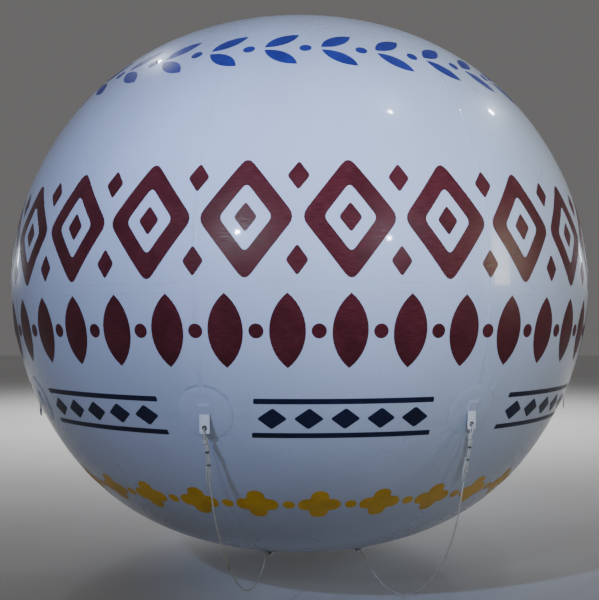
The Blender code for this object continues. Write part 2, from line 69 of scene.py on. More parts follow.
# Caps and patches lie on the film
CAP_EDGE_LATITUDE = 82.1
CAP_LIFT = 0.0037
CAP_THICKNESS = 0.0030
CAP_RIM_LATITUDE = CAP_EDGE_LATITUDE + 0.03
CAP_RIM_DROP = 0.0004
CAP_RINGS = 8
PATCH_LIFT = 0.0031
PATCH_THICKNESS = 0.0024
PATCH_RIM_DROP = 0.0018
LOAD_PATCH_RADIUS = 0.136
BELAY_PATCH_RADIUS = 0.060
TAB_LATITUDE = -23.65
BELAY_LATITUDE = -68.5

# Gores, and the welds between them from under one cap to under the other
GORE_COUNT = 8
FIRST_AZIMUTH = -15.2
SEAMS = [FIRST_AZIMUTH + number * 360 / GORE_COUNT for number in range(GORE_COUNT)]
SEAM_WIDTH = 0.024
SEAM_LIFT = 0.0004
SEAM_GAP = 0.00005
SEAM_END_LATITUDE = CAP_EDGE_LATITUDE + 0.6
SEAM_ROWS = 120
# Across a weld: (place as a share of its width, height as a share of its lift)
SEAM_PROFILE = ((-0.5, 0.0), (-0.42, 1.0), (0.0, 1.15), (0.42, 1.0), (0.5, 0.0))

# Rope tabs: the strip folds down from its flange over twice the fold's reach, with rows of points to bend at
TAB_WIDTH = 0.051
TAB_THICKNESS = 0.003
TAB_FLANGE = 0.045
TAB_DROP = 0.094
TAB_CORNER = 0.008
TAB_EDGE = 0.0005
TAB_LEAN = 3.0
TAB_LIFT = 0.0036
TAB_FOLD = 0.006
TAB_CREASE = 0.004
TAB_ROWS = (-0.008, -TAB_CREASE, 0.0, TAB_CREASE, 0.015, 0.030)
EYELET_DROP = 0.067
EYELET_HOLE_RADIUS = 0.006
EYELET_BARREL_RADIUS = 0.0074
EYELET_FLANGE_RADIUS = 0.0125
EYELET_LIP = 0.0013
EYELET_GAP = 0.0003
EYELET_SEAT = TAB_THICKNESS / 2 + 0.0001

# The film welded over a tab's flange steps down beside the strip to lie just over the patch
COVER_WIDTH = 0.088
COVER_HEIGHT = 0.064
COVER_FOOT = -0.006
COVER_CORNER = 0.014
COVER_GRID = 0.0055
COVER_THICKNESS = 0.0007
COVER_LIFT = PATCH_LIFT + 0.0009
COVER_RISE = TAB_THICKNESS + 0.0006
COVER_SLOPE = 0.007

# Ropes
ROPE_DIAMETER = 0.008
ROPE_LAY = 0.028
ROPE_SPACING = 0.003
KNOT_DROP = 0.063
KNOT_INSET = 0.012
# The bight, from the eyelet's face to above the knot: (out from the strip's plane, down the strip)
BIGHT_ROUTE = ((0.0068, 0.0027), (0.0100, 0.0067), (0.0105, 0.0137), (0.0095, 0.0300), (0.0065, 0.0440))
BIGHT_GAP = 0.0003
BIGHT_HALF_SPAN = 0.004
BIGHT_END = (0.0035, 0.012)
COIL_RADIUS = 0.0082
COIL_TURNS = 4.0
COIL_CLIMB = 0.0285
COIL_DIAMETER = 0.0072
COIL_LAY = 0.026
# The first spare end leaves the knot at (across, down) from its centre and follows the leg at an offset
TAIL_ROOT = (0.0030, 0.0102)
TAIL_OFFSET = 0.0090
TAIL_DROPS = (0.0225, 0.0350, 0.0600, 0.0950, 0.1300, 0.1600)
# The second comes out from behind the leg: (across, inwards, down) from the leg's line and the knot's centre
SECOND_END = (
    (-0.0020, 0.0060, 0.1060), (-0.0070, 0.0035, 0.1280), (-0.0105, 0.0, 0.1500),
    (-0.0130, 0.0, 0.1720), (-0.0120, 0.0, 0.1900),
)
KNOT_TUCK = 0.004
FRAY_FIBRES = 14
FRAY_DIAMETER = 0.0014
# How far a fibre lies from the middle of its rope, inside it and at its cut end
FRAY_ROOT = (0.0018, 0.0028)
FRAY_TUCK = 0.006
FRAY_SPREAD = (0.003, 0.009)
FRAY_DROP = (0.014, 0.028)
FIBRE_LAY = 0.012
FIBRE_SPACING = 0.004
TWINE_DIAMETER = 0.0017
WHIPPING_TURNS = 4.5
WHIPPING_DROPS = (0.052, 0.114)
SEIZING_DROP = 0.034
SEIZING_DIAMETER = 0.0040
SEIZING_TURNS = 6.5
WINDING_SPACING = 0.0016
# The front left leg's strands have come loose between these distances from the axis
LOOSENED_FROM = 1.442
LOOSENED_TO = 1.327
LOOSE_STRANDS = 5
LOOSE_STRAND_DIAMETER = 0.0042
LOOSE_STRAND_LAY = 0.018
LOOSE_STRAND_TWIST = 3.4
LOOSE_STRAND_STEPS = 14
# How far a loose strand lies from the leg's middle at its ends, and how much further half way
LOOSE_STRAND_ROOT = 0.0016
LOOSE_STRAND_SWELL = (0.0055, 0.0085)
LOOSE_FIBRES = 22
LOOSE_FIBRE_DIAMETER = 0.0011
LOOSE_FIBRE_ROOT = 0.004
LOOSE_FIBRE_REACH = (0.011, 0.017)
# The stopper knot's coil, and the rope through it: (along the rope, up) from the rope's end
STOPPER_DISTANCE = 0.018
STOPPER_RADIUS = 0.0086
STOPPER_TURNS = 2.6
STOPPER_CLIMB = 0.0200
STOPPER_START = 0.4
STOPPER_DIAMETER = 0.0074
STOPPER_ROUTE = ((-0.004, 0.0), (0.006, 0.0), (STOPPER_DISTANCE, 0.0), (0.032, 0.0), (0.048, -0.003))
# Each leg's route in its own upright plane through the envelope's axis: (distance from the axis, height)
SNUG_ROUTE = (
    (1.6690, -0.8208), (1.6590, -0.8600), (1.6360, -0.9350), (1.6010, -1.0450),
    (1.5480, -1.1800), (1.4900, -1.2850), (1.4200, -1.3900), (1.3300, -1.4950),
    (1.2200, -1.5950), (1.1000, -1.6640), (0.9850, -1.6900), (0.8900, -1.6790),
    (0.8100, -1.6480), (0.7700, -1.6130), (0.7430, -1.5905), (0.7200, -1.5782),
    (0.7030, -1.5766), (0.6860, -1.5812),
)
LOOSE_ROUTE = (
    (1.6690, -0.8208), (1.6610, -0.8600), (1.6440, -0.9350), (1.6120, -1.0750),
    (1.5720, -1.2300), (1.5240, -1.3480), (1.4620, -1.4600), (1.3700, -1.5720),
    (1.2600, -1.6600), (1.1450, -1.7100), (1.0250, -1.7230), (0.9150, -1.7000),
    (0.8250, -1.6560), (0.7720, -1.6130), (0.7430, -1.5905), (0.7200, -1.5782),
    (0.7030, -1.5766), (0.6860, -1.5812),
)
SNUG_LENGTH = 1.501
LOOSE_LENGTH = 1.588
# (name, azimuth, route, length)
LEGS = (
    ("front_left", FIRST_AZIMUTH, SNUG_ROUTE, SNUG_LENGTH),
    ("front_right", FIRST_AZIMUTH + 45, LOOSE_ROUTE, LOOSE_LENGTH),
    ("rear_right", FIRST_AZIMUTH + 180, SNUG_ROUTE, SNUG_LENGTH),
    ("rear_left", FIRST_AZIMUTH + 225, LOOSE_ROUTE, LOOSE_LENGTH),
)

# Belay loops
LOOP_WIDTH = 0.025
LOOP_THICKNESS = 0.0022
LOOP_HALF_SPAN = 0.020
LOOP_FOOT = 0.016
LOOP_RISE = 0.0145
LOOP_BEND = 0.005
LOOP_EDGE = 0.0004

# Inflation valve
VALVE_BORE_RADIUS = 0.040
VALVE_COLLAR_RADIUS = 0.0465
VALVE_FLANGE_RADIUS = 0.075
VALVE_FLANGE_THICKNESS = 0.003
VALVE_COLLAR_HEIGHT = 0.021
VALVE_HOLE_RADIUS = 0.0478
VALVE_HOLE_LATITUDE = math.degrees(math.acos(VALVE_HOLE_RADIUS / EQUATOR_RADIUS))
VALVE_SEAT_GAP = 0.0003
BEAD_RADIUS = 0.0710
BEAD_HEIGHT = 0.0009
BEAD_HALF_CREST = 0.0012
BEAD_HALF_FOOT = 0.0022
SCREW_COUNT = 8
SCREW_CIRCLE = 0.0610
SCREW_RADIUS = 0.0034
SCREW_LIFT = 0.0001
# Half section of a screw's socket, (share of the screw's radius, height)
SCREW_SOCKET = ((0.0, 0.0004), (0.36, 0.0004), (0.40, 0.0014))
SCREW_HEIGHT = 0.0015
# Angles in radians along the round of a screw's head
SCREW_ROUND = (1.05, 0.75, 0.4, 0.0)
MOULDED_EDGE = 0.0008
PLATE_EDGE = 0.0004
# Parts of one moulding run this far into each other
MOULDED_LAP = 0.0005
LID_RADIUS = 0.052
LID_THICKNESS = 0.004
LID_RIM = 0.0015
LID_RIM_WIDTH = 0.006
LID_RIM_SLOPE = 0.0020
LID_RIB_COUNT = 6
LID_RIB_WIDTH = 0.0018
LID_RIB_HEIGHT = 0.0010
LID_HUB_RADIUS = 0.011
LID_ARM_INSET = 0.008
# The arm's end stays this far under the pin's centre and short of it
LID_ARM_DROP = 0.003
LID_ARM_REACH = 0.0024
# The hub's raised ring: (out from its radius, height)
LID_HUB_RING = ((0.0022, 0.0), (0.0010, 0.0011), (-0.0004, 0.0013), (-0.0020, 0.0011), (-0.0032, 0.0))
THUMB_TAB_WIDTH = 0.024
THUMB_TAB_REACH = 0.011
THUMB_TAB_THICKNESS = 0.0025
THUMB_TAB_CORNER = 0.005
THUMB_TAB_EDGE = 0.0005
THUMB_TAB_ROOT = 0.004
THUMB_RIDGES = (0.0038, 0.0064, 0.0090)
THUMB_RIDGE_WIDTH = 0.0012
THUMB_RIDGE_HEIGHT = 0.0006
THUMB_RIDGE_LENGTH = THUMB_TAB_WIDTH * 0.68
THUMB_RIDGE_LAP = 0.0004
HINGE_OFFSET = 0.084
HINGE_DROP = 0.0045
HINGE_PIN_RADIUS = 0.002
HINGE_PIN_REACH = 0.0008
HINGE_KNUCKLE_RADIUS = 0.0045
HINGE_KNUCKLE_WIDTH = 0.015
HINGE_LUG_WIDTH = 0.004
HINGE_LUG_INSET = 0.007
HINGE_LUG_SLOPE = 0.003

# Painted decoration lies a little proud of the film
PAINT_LIFT = 0.0009
PAINT_THICKNESS = 0.0005
PAINT_GRID = 0.045
# Each row: (latitude, number of motifs, azimuth of the first one from the first seam)
DIAMOND_ROW = (7.8, 24, 7.5)
OVAL_ROW = (-9.8, 40, 4.5)
RULED_ROW = (-24.4, 8, 22.5)
LEAF_ROW = (42.0, 30, 0.0)
FLOWER_ROW = (-42.5, 28, 6.43)
RULE_LENGTH = 0.86
RULE_HEIGHT = 0.027
RULE_OFFSET = 0.090
RULE_CORNER = 0.006


# Surface of the envelope

def meridian(latitude, offset=0.0):
    """(distance from the axis, height) on the envelope, moved out along its normal by offset."""

    def bare(angle):
        fullness, height = (UPPER_FULLNESS, UPPER_HEIGHT) if angle >= 0 else (LOWER_FULLNESS, LOWER_HEIGHT)
        swell = 1 + fullness * math.sin(angle) ** 4 * math.cos(angle) ** 2 * 27 / 4
        return Vector((EQUATOR_RADIUS * math.cos(angle) * swell, height * math.sin(angle) * swell))

    angle = math.radians(latitude)
    step = 1e-4
    tangent = (bare(angle + step) - bare(angle - step)).normalized()
    return bare(angle) + Vector((tangent.y, -tangent.x)) * offset


def degree_length(latitude):
    return (meridian(latitude + 0.5) - meridian(latitude - 0.5)).length


def round_axis(out, turn, height):
    """The point at a distance from the axis, turned from -Y by an angle in radians."""
    return Vector((out * math.sin(turn), -out * math.cos(turn), height))


def about_z(degrees):
    return Matrix.Rotation(math.radians(degrees), 4, "Z")


def lay_on_envelope(bm, latitude, lift=0.0):
    """Bends a flat shape onto the envelope: x along the parallel, y up the meridian, z outwards."""
    one_degree = degree_length(latitude)
    for vert in bm.verts:
        out, height = meridian(latitude + vert.co.y / one_degree, vert.co.z + lift)
        turn = vert.co.x / meridian(latitude + vert.co.y / one_degree).x
        vert.co = round_axis(out, turn, height)


def smooth_step(share):
    share = min(max(share, 0.0), 1.0)
    return share * share * (3 - 2 * share)


# Places that follow from the sizes: the valve's faces and hinge, and at azimuth 0 the tab, eyelet and knot

VALVE_TOP = meridian(-VALVE_HOLE_LATITUDE, CAP_LIFT).y - VALVE_SEAT_GAP
VALVE_FACE = VALVE_TOP - VALVE_FLANGE_THICKNESS
HINGE_AXIS = Vector((0, HINGE_OFFSET, VALVE_FACE - HINGE_DROP))
TAB_ROOT = round_axis(meridian(TAB_LATITUDE, TAB_LIFT).x, 0, meridian(TAB_LATITUDE, TAB_LIFT).y)
TAB_DOWN = Vector((0, math.sin(math.radians(TAB_LEAN)), -math.cos(math.radians(TAB_LEAN))))
TAB_OUTWARD = Vector((0, -math.cos(math.radians(TAB_LEAN)), -math.sin(math.radians(TAB_LEAN))))
EYELET_CENTRE = TAB_ROOT + TAB_DOWN * EYELET_DROP + TAB_OUTWARD * TAB_THICKNESS / 2
KNOT_CENTRE = EYELET_CENTRE + Vector((0, KNOT_INSET, -KNOT_DROP))


# Pieces

def finished(bm, sharp_angle=180.0):
    """The mesh of a shape, shaded smooth but for edges over the sharp angle."""
    mesh = bpy.data.meshes.new("shape")
    bm.to_mesh(mesh)
    bm.free()
    mesh.shade_smooth()
    mesh.set_sharp_from_angle(angle=math.radians(sharp_angle))
    return mesh


def mesh_of(bm, sharp_angle=SHARP_ANGLE):
    """The mesh of a closed solid, its faces turned outwards."""
    bmesh.ops.recalc_face_normals(bm, faces=bm.faces)
    if bm.calc_volume(signed=True) < 0:
        bmesh.ops.reverse_faces(bm, faces=bm.faces)
    return finished(bm, sharp_angle)


def joined(meshes, sharp_angle=180.0):
    """Several closed meshes as one."""
    bm = bmesh.new()
    for mesh in meshes:
        bm.from_mesh(mesh)
        bpy.data.meshes.remove(mesh)
    return finished(bm, sharp_angle)


def piece(name, mesh, finish, azimuth=0.0, replaced=(), body="balloon"):
    """Puts a mesh in the scene, turned to its azimuth, on the body it rides on, and hides the parts it
    stands for.
    """
    placed = mesh.copy()
    placed.name = name
    placed.transform(about_z(azimuth))
    placed.materials.clear()
    placed.materials.append(finish)
    made = bpy.data.objects.new(name, placed)
    bpy.context.collection.objects.link(made)
    if replaced:
        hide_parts(*replaced)
    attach(made, body)
    return made


def closed_edges(bm, points):
    """New vertices at the points and the edges that join them in a loop."""
    verts = [bm.verts.new(point) for point in points]
    return verts, [bm.edges.new(pair) for pair in zip(verts, verts[1:] + verts[:1])]


def fill(bm, loops):
    """A flat sheet inside a closed outline of (x, y), with a hole for each further outline."""
    edges = []
    for loop in loops:
        edges += closed_edges(bm, [(x, y, 0) for x, y in loop])[1]
    bmesh.ops.triangle_fill(bm, edges=edges, use_dissolve=False)


def face_up(bm):
    """Turns a flat sheet's faces to +Z, and keeps its x and y, in metres from its middle, as a UV map."""
    bmesh.ops.recalc_face_normals(bm, faces=bm.faces)
    for face in bm.faces:
        if face.normal.z < 0:
            face.normal_flip()
    write_flat_map(bm)


def write_flat_map(bm):
    layer = bm.loops.layers.uv.new("flat")
    for face in bm.faces:
        for loop in face.loops:
            loop[layer].uv = (loop.vert.co.x + 0.5, loop.vert.co.y + 0.5)


def extrude(bm, faces, along):
    extruded = bmesh.ops.extrude_face_region(bm, geom=faces)["geom"]
    moved = [item for item in extruded if isinstance(item, bmesh.types.BMVert)]
    bmesh.ops.translate(bm, verts=moved, vec=along)


def thicken(bm, amount):
    """Gives a flat sheet a thickness along Z."""
    extrude(bm, bm.faces[:], (0, 0, amount))


def cut_across(bm, point, normal):
    geometry = bm.verts[:] + bm.edges[:] + bm.faces[:]
    bmesh.ops.bisect_plane(bm, geom=geometry, dist=1e-6, plane_co=point, plane_no=normal)


def slice_up(bm, spacing):
    """Cuts a flat sheet along a square grid, so that it can bend."""
    low = [min(vert.co[axis] for vert in bm.verts) for axis in (0, 1)]
    high = [max(vert.co[axis] for vert in bm.verts) for axis in (0, 1)]
    for axis, normal in ((0, (1, 0, 0)), (1, (0, 1, 0))):
        for number in range(math.ceil(low[axis] / spacing), math.ceil(high[axis] / spacing)):
            point = [0.0, 0.0, 0.0]
            point[axis] = number * spacing
            cut_across(bm, point, normal)


def even_steps(start, end, count):
    return [start + (end - start) * number / count for number in range(count + 1)]


def arc(centre, radius, start, end, steps):
    """Points from a start to an end bearing, in degrees."""
    angles = [math.radians(bearing) for bearing in even_steps(start, end, steps)]
    return [(centre[0] + radius * math.cos(angle), centre[1] + radius * math.sin(angle)) for angle in angles]


def rounded(points, radius, steps=4):
    """An outline whose corners are rounded off."""
    made = []
    for before, corner, after in zip(points[-1:] + points[:-1], points, points[1:] + points[:1]):
        corner = Vector(corner)
        to_before = Vector(before) - corner
        to_after = Vector(after) - corner
        reach = min(radius, to_before.length * 0.45, to_after.length * 0.45)
        start = corner + to_before.normalized() * reach
        end = corner + to_after.normalized() * reach
        for share in even_steps(0, 1, steps):
            point = start * (1 - share) ** 2 + corner * 2 * share * (1 - share) + end * share ** 2
            made.append((point.x, point.y))
    return made


def on_axis(profile):
    """A profile of (radius, height) with both its ends on the axis."""
    return [(0.0, profile[0][1]), *profile[1:-1], (0.0, profile[-1][1])]


def turned(profile, steps, closed):
    """A solid turned about Z from a list of (radius, height)."""
    bm = bmesh.new()
    verts = [bm.verts.new((radius, 0, height)) for radius, height in profile]
    pairs = list(zip(verts, verts[1:]))
    if closed:
        pairs.append((verts[-1], verts[0]))
    section = verts + [bm.edges.new(pair) for pair in pairs]
    whole = {"cent": (0, 0, 0), "axis": (0, 0, 1), "angle": math.tau, "use_merge": True}
    bmesh.ops.spin(bm, geom=section, steps=steps, **whole)
    bmesh.ops.remove_doubles(bm, verts=bm.verts, dist=1e-6)
    return bm


def soften_edges(bm, width, clamp_overlap=True):
    """Rounds a solid's sharp edges."""
    sharp = [edge for edge in bm.edges if edge.is_manifold and edge.calc_face_angle() > math.radians(60)]
    bmesh.ops.bevel(
        bm, geom=sharp, offset=width, segments=2, affect="EDGES", profile=0.5, material=-1,
        clamp_overlap=clamp_overlap,
    )


def block(points, along, edge):
    """A solid from an outline swept along a vector, its edges rounded."""
    bm = bmesh.new()
    face = bm.faces.new([bm.verts.new(point) for point in points])
    extrude(bm, [face], along)
    bmesh.ops.recalc_face_normals(bm, faces=bm.faces)
    soften_edges(bm, edge)
    return bm


# Materials

class Finish:
    """A material that is being built, with its nodes and its Principled shader."""

    def __init__(self, name, colour, roughness, **values):
        self.material = bpy.data.materials.new(name)
        self.material.use_nodes = True
        self.nodes = self.material.node_tree.nodes
        self.shader = self.nodes["Principled BSDF"]
        values = {"Base_Color": (*colour, 1.0), "Roughness": roughness, **values}
        for socket, value in values.items():
            self.shader.inputs[socket.replace("_", " ")].default_value = value
        self.height = None

    def link(self, source, target):
        self.material.node_tree.links.new(source, target)

    def node(self, kind, inputs=(), **settings):
        """A node with its settings, and its inputs as values or as sockets to link from."""
        made = self.nodes.new(kind)
        for setting, value in settings.items():
            setattr(made, setting, value)
        for key, value in dict(inputs).items():
            if isinstance(value, bpy.types.NodeSocket):
                self.link(value, made.inputs[key])
            else:
                made.inputs[key].default_value = value
        return made

    def place(self, scale=(1, 1, 1), turn=0, own_map=False):
        """Object coordinates, or the piece's flat map, scaled and turned about Z."""
        if own_map:
            source = self.node("ShaderNodeUVMap", uv_map="flat").outputs["UV"]
        else:
            source = self.node("ShaderNodeTexCoord").outputs["Object"]
        inputs = {"Vector": source, "Scale": scale, "Rotation": (0, 0, math.radians(turn))}
        return self.node("ShaderNodeMapping", inputs).outputs["Vector"]

    def speckle(self, scale, detail=3.0, vector=None, roughness=0.5):
        inputs = {"Scale": scale, "Detail": detail, "Roughness": roughness, "Vector": vector or self.place()}
        return self.node("ShaderNodeTexNoise", inputs).outputs["Fac"]

    def operate(self, operation, *values):
        return self.node("ShaderNodeMath", dict(enumerate(values)), operation=operation).outputs[0]

    def times(self, first, second):
        return self.operate("MULTIPLY", first, second)

    def off(self, value, centre):
        """How far a value is from a centre, either way."""
        return self.operate("ABSOLUTE", self.operate("SUBTRACT", value, centre))

    def length(self, x, y):
        vector = self.node("ShaderNodeCombineXYZ", {0: x, 1: y}).outputs[0]
        return self.node("ShaderNodeVectorMath", {0: vector}, operation="LENGTH").outputs["Value"]

    def spread(self, value, low, high, to_low=0.0, to_high=1.0):
        """Maps a range of a value smoothly onto another range."""
        inputs = {"Value": value, "From Min": low, "From Max": high, "To Min": to_low, "To Max": to_high}
        return self.node("ShaderNodeMapRange", inputs, interpolation_type="SMOOTHSTEP").outputs["Result"]

    def patchy(self, low, high, *noise, **options):
        """A mask from noise: nought below low and one above high."""
        return self.spread(self.speckle(*noise, **options), low, high)

    def mix(self, share, first, second):
        inputs = {0: share, 6: first, 7: second}
        return self.node("ShaderNodeMix", inputs, data_type="RGBA").outputs[2]

    def stain(self, colour, mask, share, second):
        """A colour with a share of a second one where the mask is."""
        return self.mix(self.times(mask, share), colour, (*second, 1.0))

    def relief(self, height, amount):
        """Adds to the surface's relief, by an amount in metres."""
        added = self.times(height, amount)
        self.height = added if self.height is None else self.operate("ADD", self.height, added)

    def finish(self, colour, roughness=None):
        self.link(colour, self.shader.inputs["Base Color"])
        if roughness is not None:
            self.link(roughness, self.shader.inputs["Roughness"])
        if self.height is not None:
            bump = self.node("ShaderNodeBump", {"Height": self.height, "Distance": 1.0, "Strength": 1.0})
            self.link(bump.outputs["Normal"], self.shader.inputs["Normal"])
        return self.material


def tone(colour, factor=1.0):
    return (*(channel * factor for channel in colour), 1.0)


def film_finish():
    """Glossy off-white PVC film, slightly cool, with handling marks and soft ripples."""
    film = Finish("pvc_film", FILM_COLOUR, 0.28, IOR=1.5, Coat_Weight=0.4, Coat_Roughness=0.06)
    x, y, z = film.node("ShaderNodeSeparateXYZ", {0: film.place()}).outputs[:]
    azimuth = film.operate("ARCTAN2", x, film.times(y, -1.0))
    from_first = film.operate("SUBTRACT", azimuth, math.radians(FIRST_AZIMUTH))
    from_seam = film.operate("WRAP", from_first, math.pi / GORE_COUNT, -math.pi / GORE_COUNT)
    across = film.times(from_seam, film.length(x, y))
    along = film.operate("MULTIPLY_ADD", z, FILM_SLANT, -FILM_SLANT * meridian(TAB_LATITUDE).y)
    from_patch = film.length(across, along)

    # Faint creases that run out from each load patch, small puckers beside each weld, and soft ripples
    bearing = film.operate("ARCTAN2", across, along)
    wander = film.times(film.speckle(3.0), 14.0)
    crease = film.operate("SINE", film.operate("MULTIPLY_ADD", bearing, 17.0, wander))
    near_patch = film.spread(from_patch, LOAD_PATCH_RADIUS * 0.95, 0.40, 1.0, 0.0)
    film.relief(film.times(crease, near_patch), 0.00028)
    pucker = film.operate("SINE", film.operate("MULTIPLY_ADD", z, 95.0, film.times(film.speckle(6.0), 20.0)))
    near_seam = film.spread(film.operate("ABSOLUTE", across), 0.0, 0.07, 1.0, 0.0)
    film.relief(film.times(pucker, near_seam), 0.00022)
    film.relief(film.speckle(2.2, 1.0), 0.010)
    film.relief(film.speckle(9.0, 2.0), 0.0006)

    # Cloudy tone, handling smudges, runs and faint setting-out lines
    cloud = film.patchy(0.35, 0.65, 1.3, 4.0)
    colour = film.mix(cloud, tone(FILM_COLOUR, 1.03), tone(FILM_COLOUR, 0.95))
    smudge = film.patchy(0.46, 0.86, 4.5, 4.0)
    colour = film.stain(colour, smudge, 0.08, (0.42, 0.43, 0.46))
    runs = film.patchy(0.58, 0.75, 1.0, 5.0, film.place((9.0, 9.0, 0.7)))
    colour = film.stain(colour, runs, 0.14, (0.45, 0.46, 0.50))
    for height in SETTING_OUT_HEIGHTS:
        line = film.spread(film.off(z, height), 0.0008, 0.0022, 1.0, 0.0)
        broken = film.times(line, film.patchy(0.46, 0.56, 7.0, 4.0))
        colour = film.stain(colour, broken, 0.30, (0.24, 0.25, 0.30))

    # Darker broken arcs lie along the upper edge of each load patch
    edge = film.spread(film.off(from_patch, LOAD_PATCH_RADIUS + 0.006), 0.002, 0.011, 1.0, 0.0)
    dark_marks = film.times(film.times(edge, film.spread(along, 0.045, 0.080)), film.patchy(0.46, 0.60, 6.5))
    colour = film.stain(colour, dark_marks, 0.45, (0.20, 0.22, 0.30))
    gloss = film.spread(film.speckle(3.2, 6.0), 0.3, 0.7, 0.25, 0.36)
    return film.finish(colour, film.operate("MULTIPLY_ADD", smudge, 0.12, gloss))


def patch_finish():
    """The same film, doubled and welded down, with faint weld rings."""
    colour = (0.474, 0.516, 0.609)
    film = Finish("pvc_patch", colour, 0.3, IOR=1.5, Coat_Weight=0.3, Coat_Roughness=0.10)
    ends = {0: film.place(own_map=True), 1: (0.5, 0.5, 0.0)}
    out = film.node("ShaderNodeVectorMath", ends, operation="DISTANCE").outputs["Value"]
    film.relief(film.operate("SINE", film.times(out, 520.0)), 0.00003)
    film.relief(film.speckle(14.0, 3.0), 0.0022)
    smudge = film.patchy(0.52, 0.72, 16.0, 6.0, roughness=0.65)
    shade = film.stain(tone(colour), smudge, 0.25, (0.42, 0.43, 0.46))
    return film.finish(shade, film.spread(film.speckle(20.0, 4.0), 0.3, 0.7, 0.26, 0.38))


def weld_finish():
    """The heat-welded lap between two gores, a touch glossier and ribbed by the welding wheel."""
    colour = (0.466, 0.510, 0.606)
    film = Finish("pvc_weld", colour, 0.28, IOR=1.5, Coat_Weight=0.4, Coat_Roughness=0.06)
    film.relief(film.speckle(9.0, 2.0), 0.0006)
    film.relief(film.speckle(60.0, 2.0, film.place((1, 1, 4))), 0.00012)
    cloud = film.patchy(0.35, 0.7, 5.0, 5.0)
    shade = film.mix(cloud, tone(colour, 1.02), tone(colour, 0.94))
    return film.finish(shade, film.spread(cloud, 0, 1, 0.24, 0.34))


def paint_finish(name, colour, thin_colour, streaks):
    """Hand-brushed enamel: brush streaks, thinner and thicker coats, a slight gloss."""
    paint = Finish(name, colour, 0.34, IOR=1.48)
    bristles = paint.speckle(14.0, 6.0, paint.place(streaks, own_map=True), 0.6)
    shade = paint.mix(paint.spread(bristles, 0.35, 0.75), tone(colour), tone(thin_colour))
    shade = paint.mix(paint.spread(paint.speckle(7.0), 0.42, 0.68, 0.0, 0.55), shade, tone(colour, 0.68))
    paint.relief(bristles, 0.00028)
    paint.relief(paint.speckle(2.2, 1.0), 0.010)
    return paint.finish(shade, paint.spread(bristles, 0.3, 0.7, 0.28, 0.46))


def webbing_finish():
    """White coated strip with a fine diagonal weave under its coating."""
    colour = (0.80, 0.80, 0.79)
    strip = Finish("coated_strip", colour, 0.42, IOR=1.5, Sheen_Weight=0.15)
    for turn in (45, -45):
        diagonal = strip.place(turn=turn, own_map=True)
        weave = {"Vector": diagonal, "Scale": 150.0, "Distortion": 0.6, "Detail": 1.0}
        strip.relief(strip.node("ShaderNodeTexWave", weave).outputs["Fac"], 0.00014)
    dirt = strip.patchy(0.5, 0.75, 45.0, 6.0, roughness=0.65)
    shade = strip.stain(tone(colour), dirt, 0.35, (0.52, 0.50, 0.46))
    return strip.finish(shade, strip.spread(dirt, 0, 1, 0.38, 0.6))


def eyelet_finish():
    """Rolled metal eyelet with a dulled nickel plating."""
    colour = (0.30, 0.30, 0.27)
    metal = Finish("dulled_plating", colour, 0.34, Metallic=1.0)
    metal.relief(metal.speckle(900.0, 2.0), 0.00003)
    tarnish = metal.patchy(0.42, 0.66, 180.0, 6.0, roughness=0.6)
    shade = metal.mix(tarnish, tone(colour, 1.15), (0.13, 0.12, 0.10, 1.0))
    return metal.finish(shade, metal.spread(tarnish, 0, 1, 0.24, 0.5))


def rope_finish(name, colour):
    """Laid rope or twine: fine fibres, a slight sheen and grime in the lay."""
    fibre = Finish(name, colour, 0.82, Sheen_Weight=0.3, Sheen_Roughness=0.5)
    yarn = fibre.speckle(900.0, 3.0, fibre.place((1, 1, 0.35)))
    fibre.relief(yarn, 0.0005)
    dark_marks = fibre.patchy(0.45, 0.72, 28.0, 5.0, roughness=0.6)
    shade = fibre.mix(fibre.spread(yarn, 0.35, 0.65), tone(colour, 1.08), tone(colour, 0.76))
    shade = fibre.mix(fibre.times(dark_marks, 0.45), shade, tone(colour, 0.43))
    return fibre.finish(shade, fibre.spread(yarn, 0.3, 0.7, 0.74, 0.92))


def plastic_finish():
    """Moulded dark grey plastic with a fine spark-eroded grain."""
    colour = (0.085, 0.095, 0.11)
    plastic = Finish("moulded_plastic", colour, 0.45, IOR=1.49)
    plastic.relief(plastic.speckle(1400.0, 2.0), 0.00006)
    dust = plastic.patchy(0.5, 0.75, 60.0, 6.0, roughness=0.65)
    shade = plastic.stain(tone(colour), dust, 0.3, (0.25, 0.24, 0.22))
    return plastic.finish(shade, plastic.spread(dust, 0, 1, 0.4, 0.62))


# Camera, lights and floor

def build_camera():
    lens = bpy.data.cameras.new("camera")
    lens.lens = CAMERA_LENS
    camera = bpy.data.objects.new("camera", lens)
    camera.location = (0, -CAMERA_DISTANCE, CAMERA_HEIGHT)
    camera.rotation_euler = (math.radians(90 + CAMERA_PITCH), 0, 0)
    bpy.context.collection.objects.link(camera)
    bpy.context.scene.camera = camera


def panel_light(name, place, target, size, power, spread, colour=(0.84, 0.91, 1.0), reflected=True):
    """A rectangular studio light behind a grid that keeps its beam to the spread, in degrees."""
    light = bpy.data.lights.new(name, "AREA")
    light.shape = "RECTANGLE"
    light.size, light.size_y = size
    light.energy = power
    light.color = colour
    light.spread = math.radians(spread)
    lamp = bpy.data.objects.new(name, light)
    lamp.location = place
    lamp.rotation_euler = (Vector(target) - Vector(place)).to_track_quat("-Z", "Y").to_euler()
    lamp.visible_camera = False
    lamp.visible_glossy = reflected
    bpy.context.collection.objects.link(lamp)


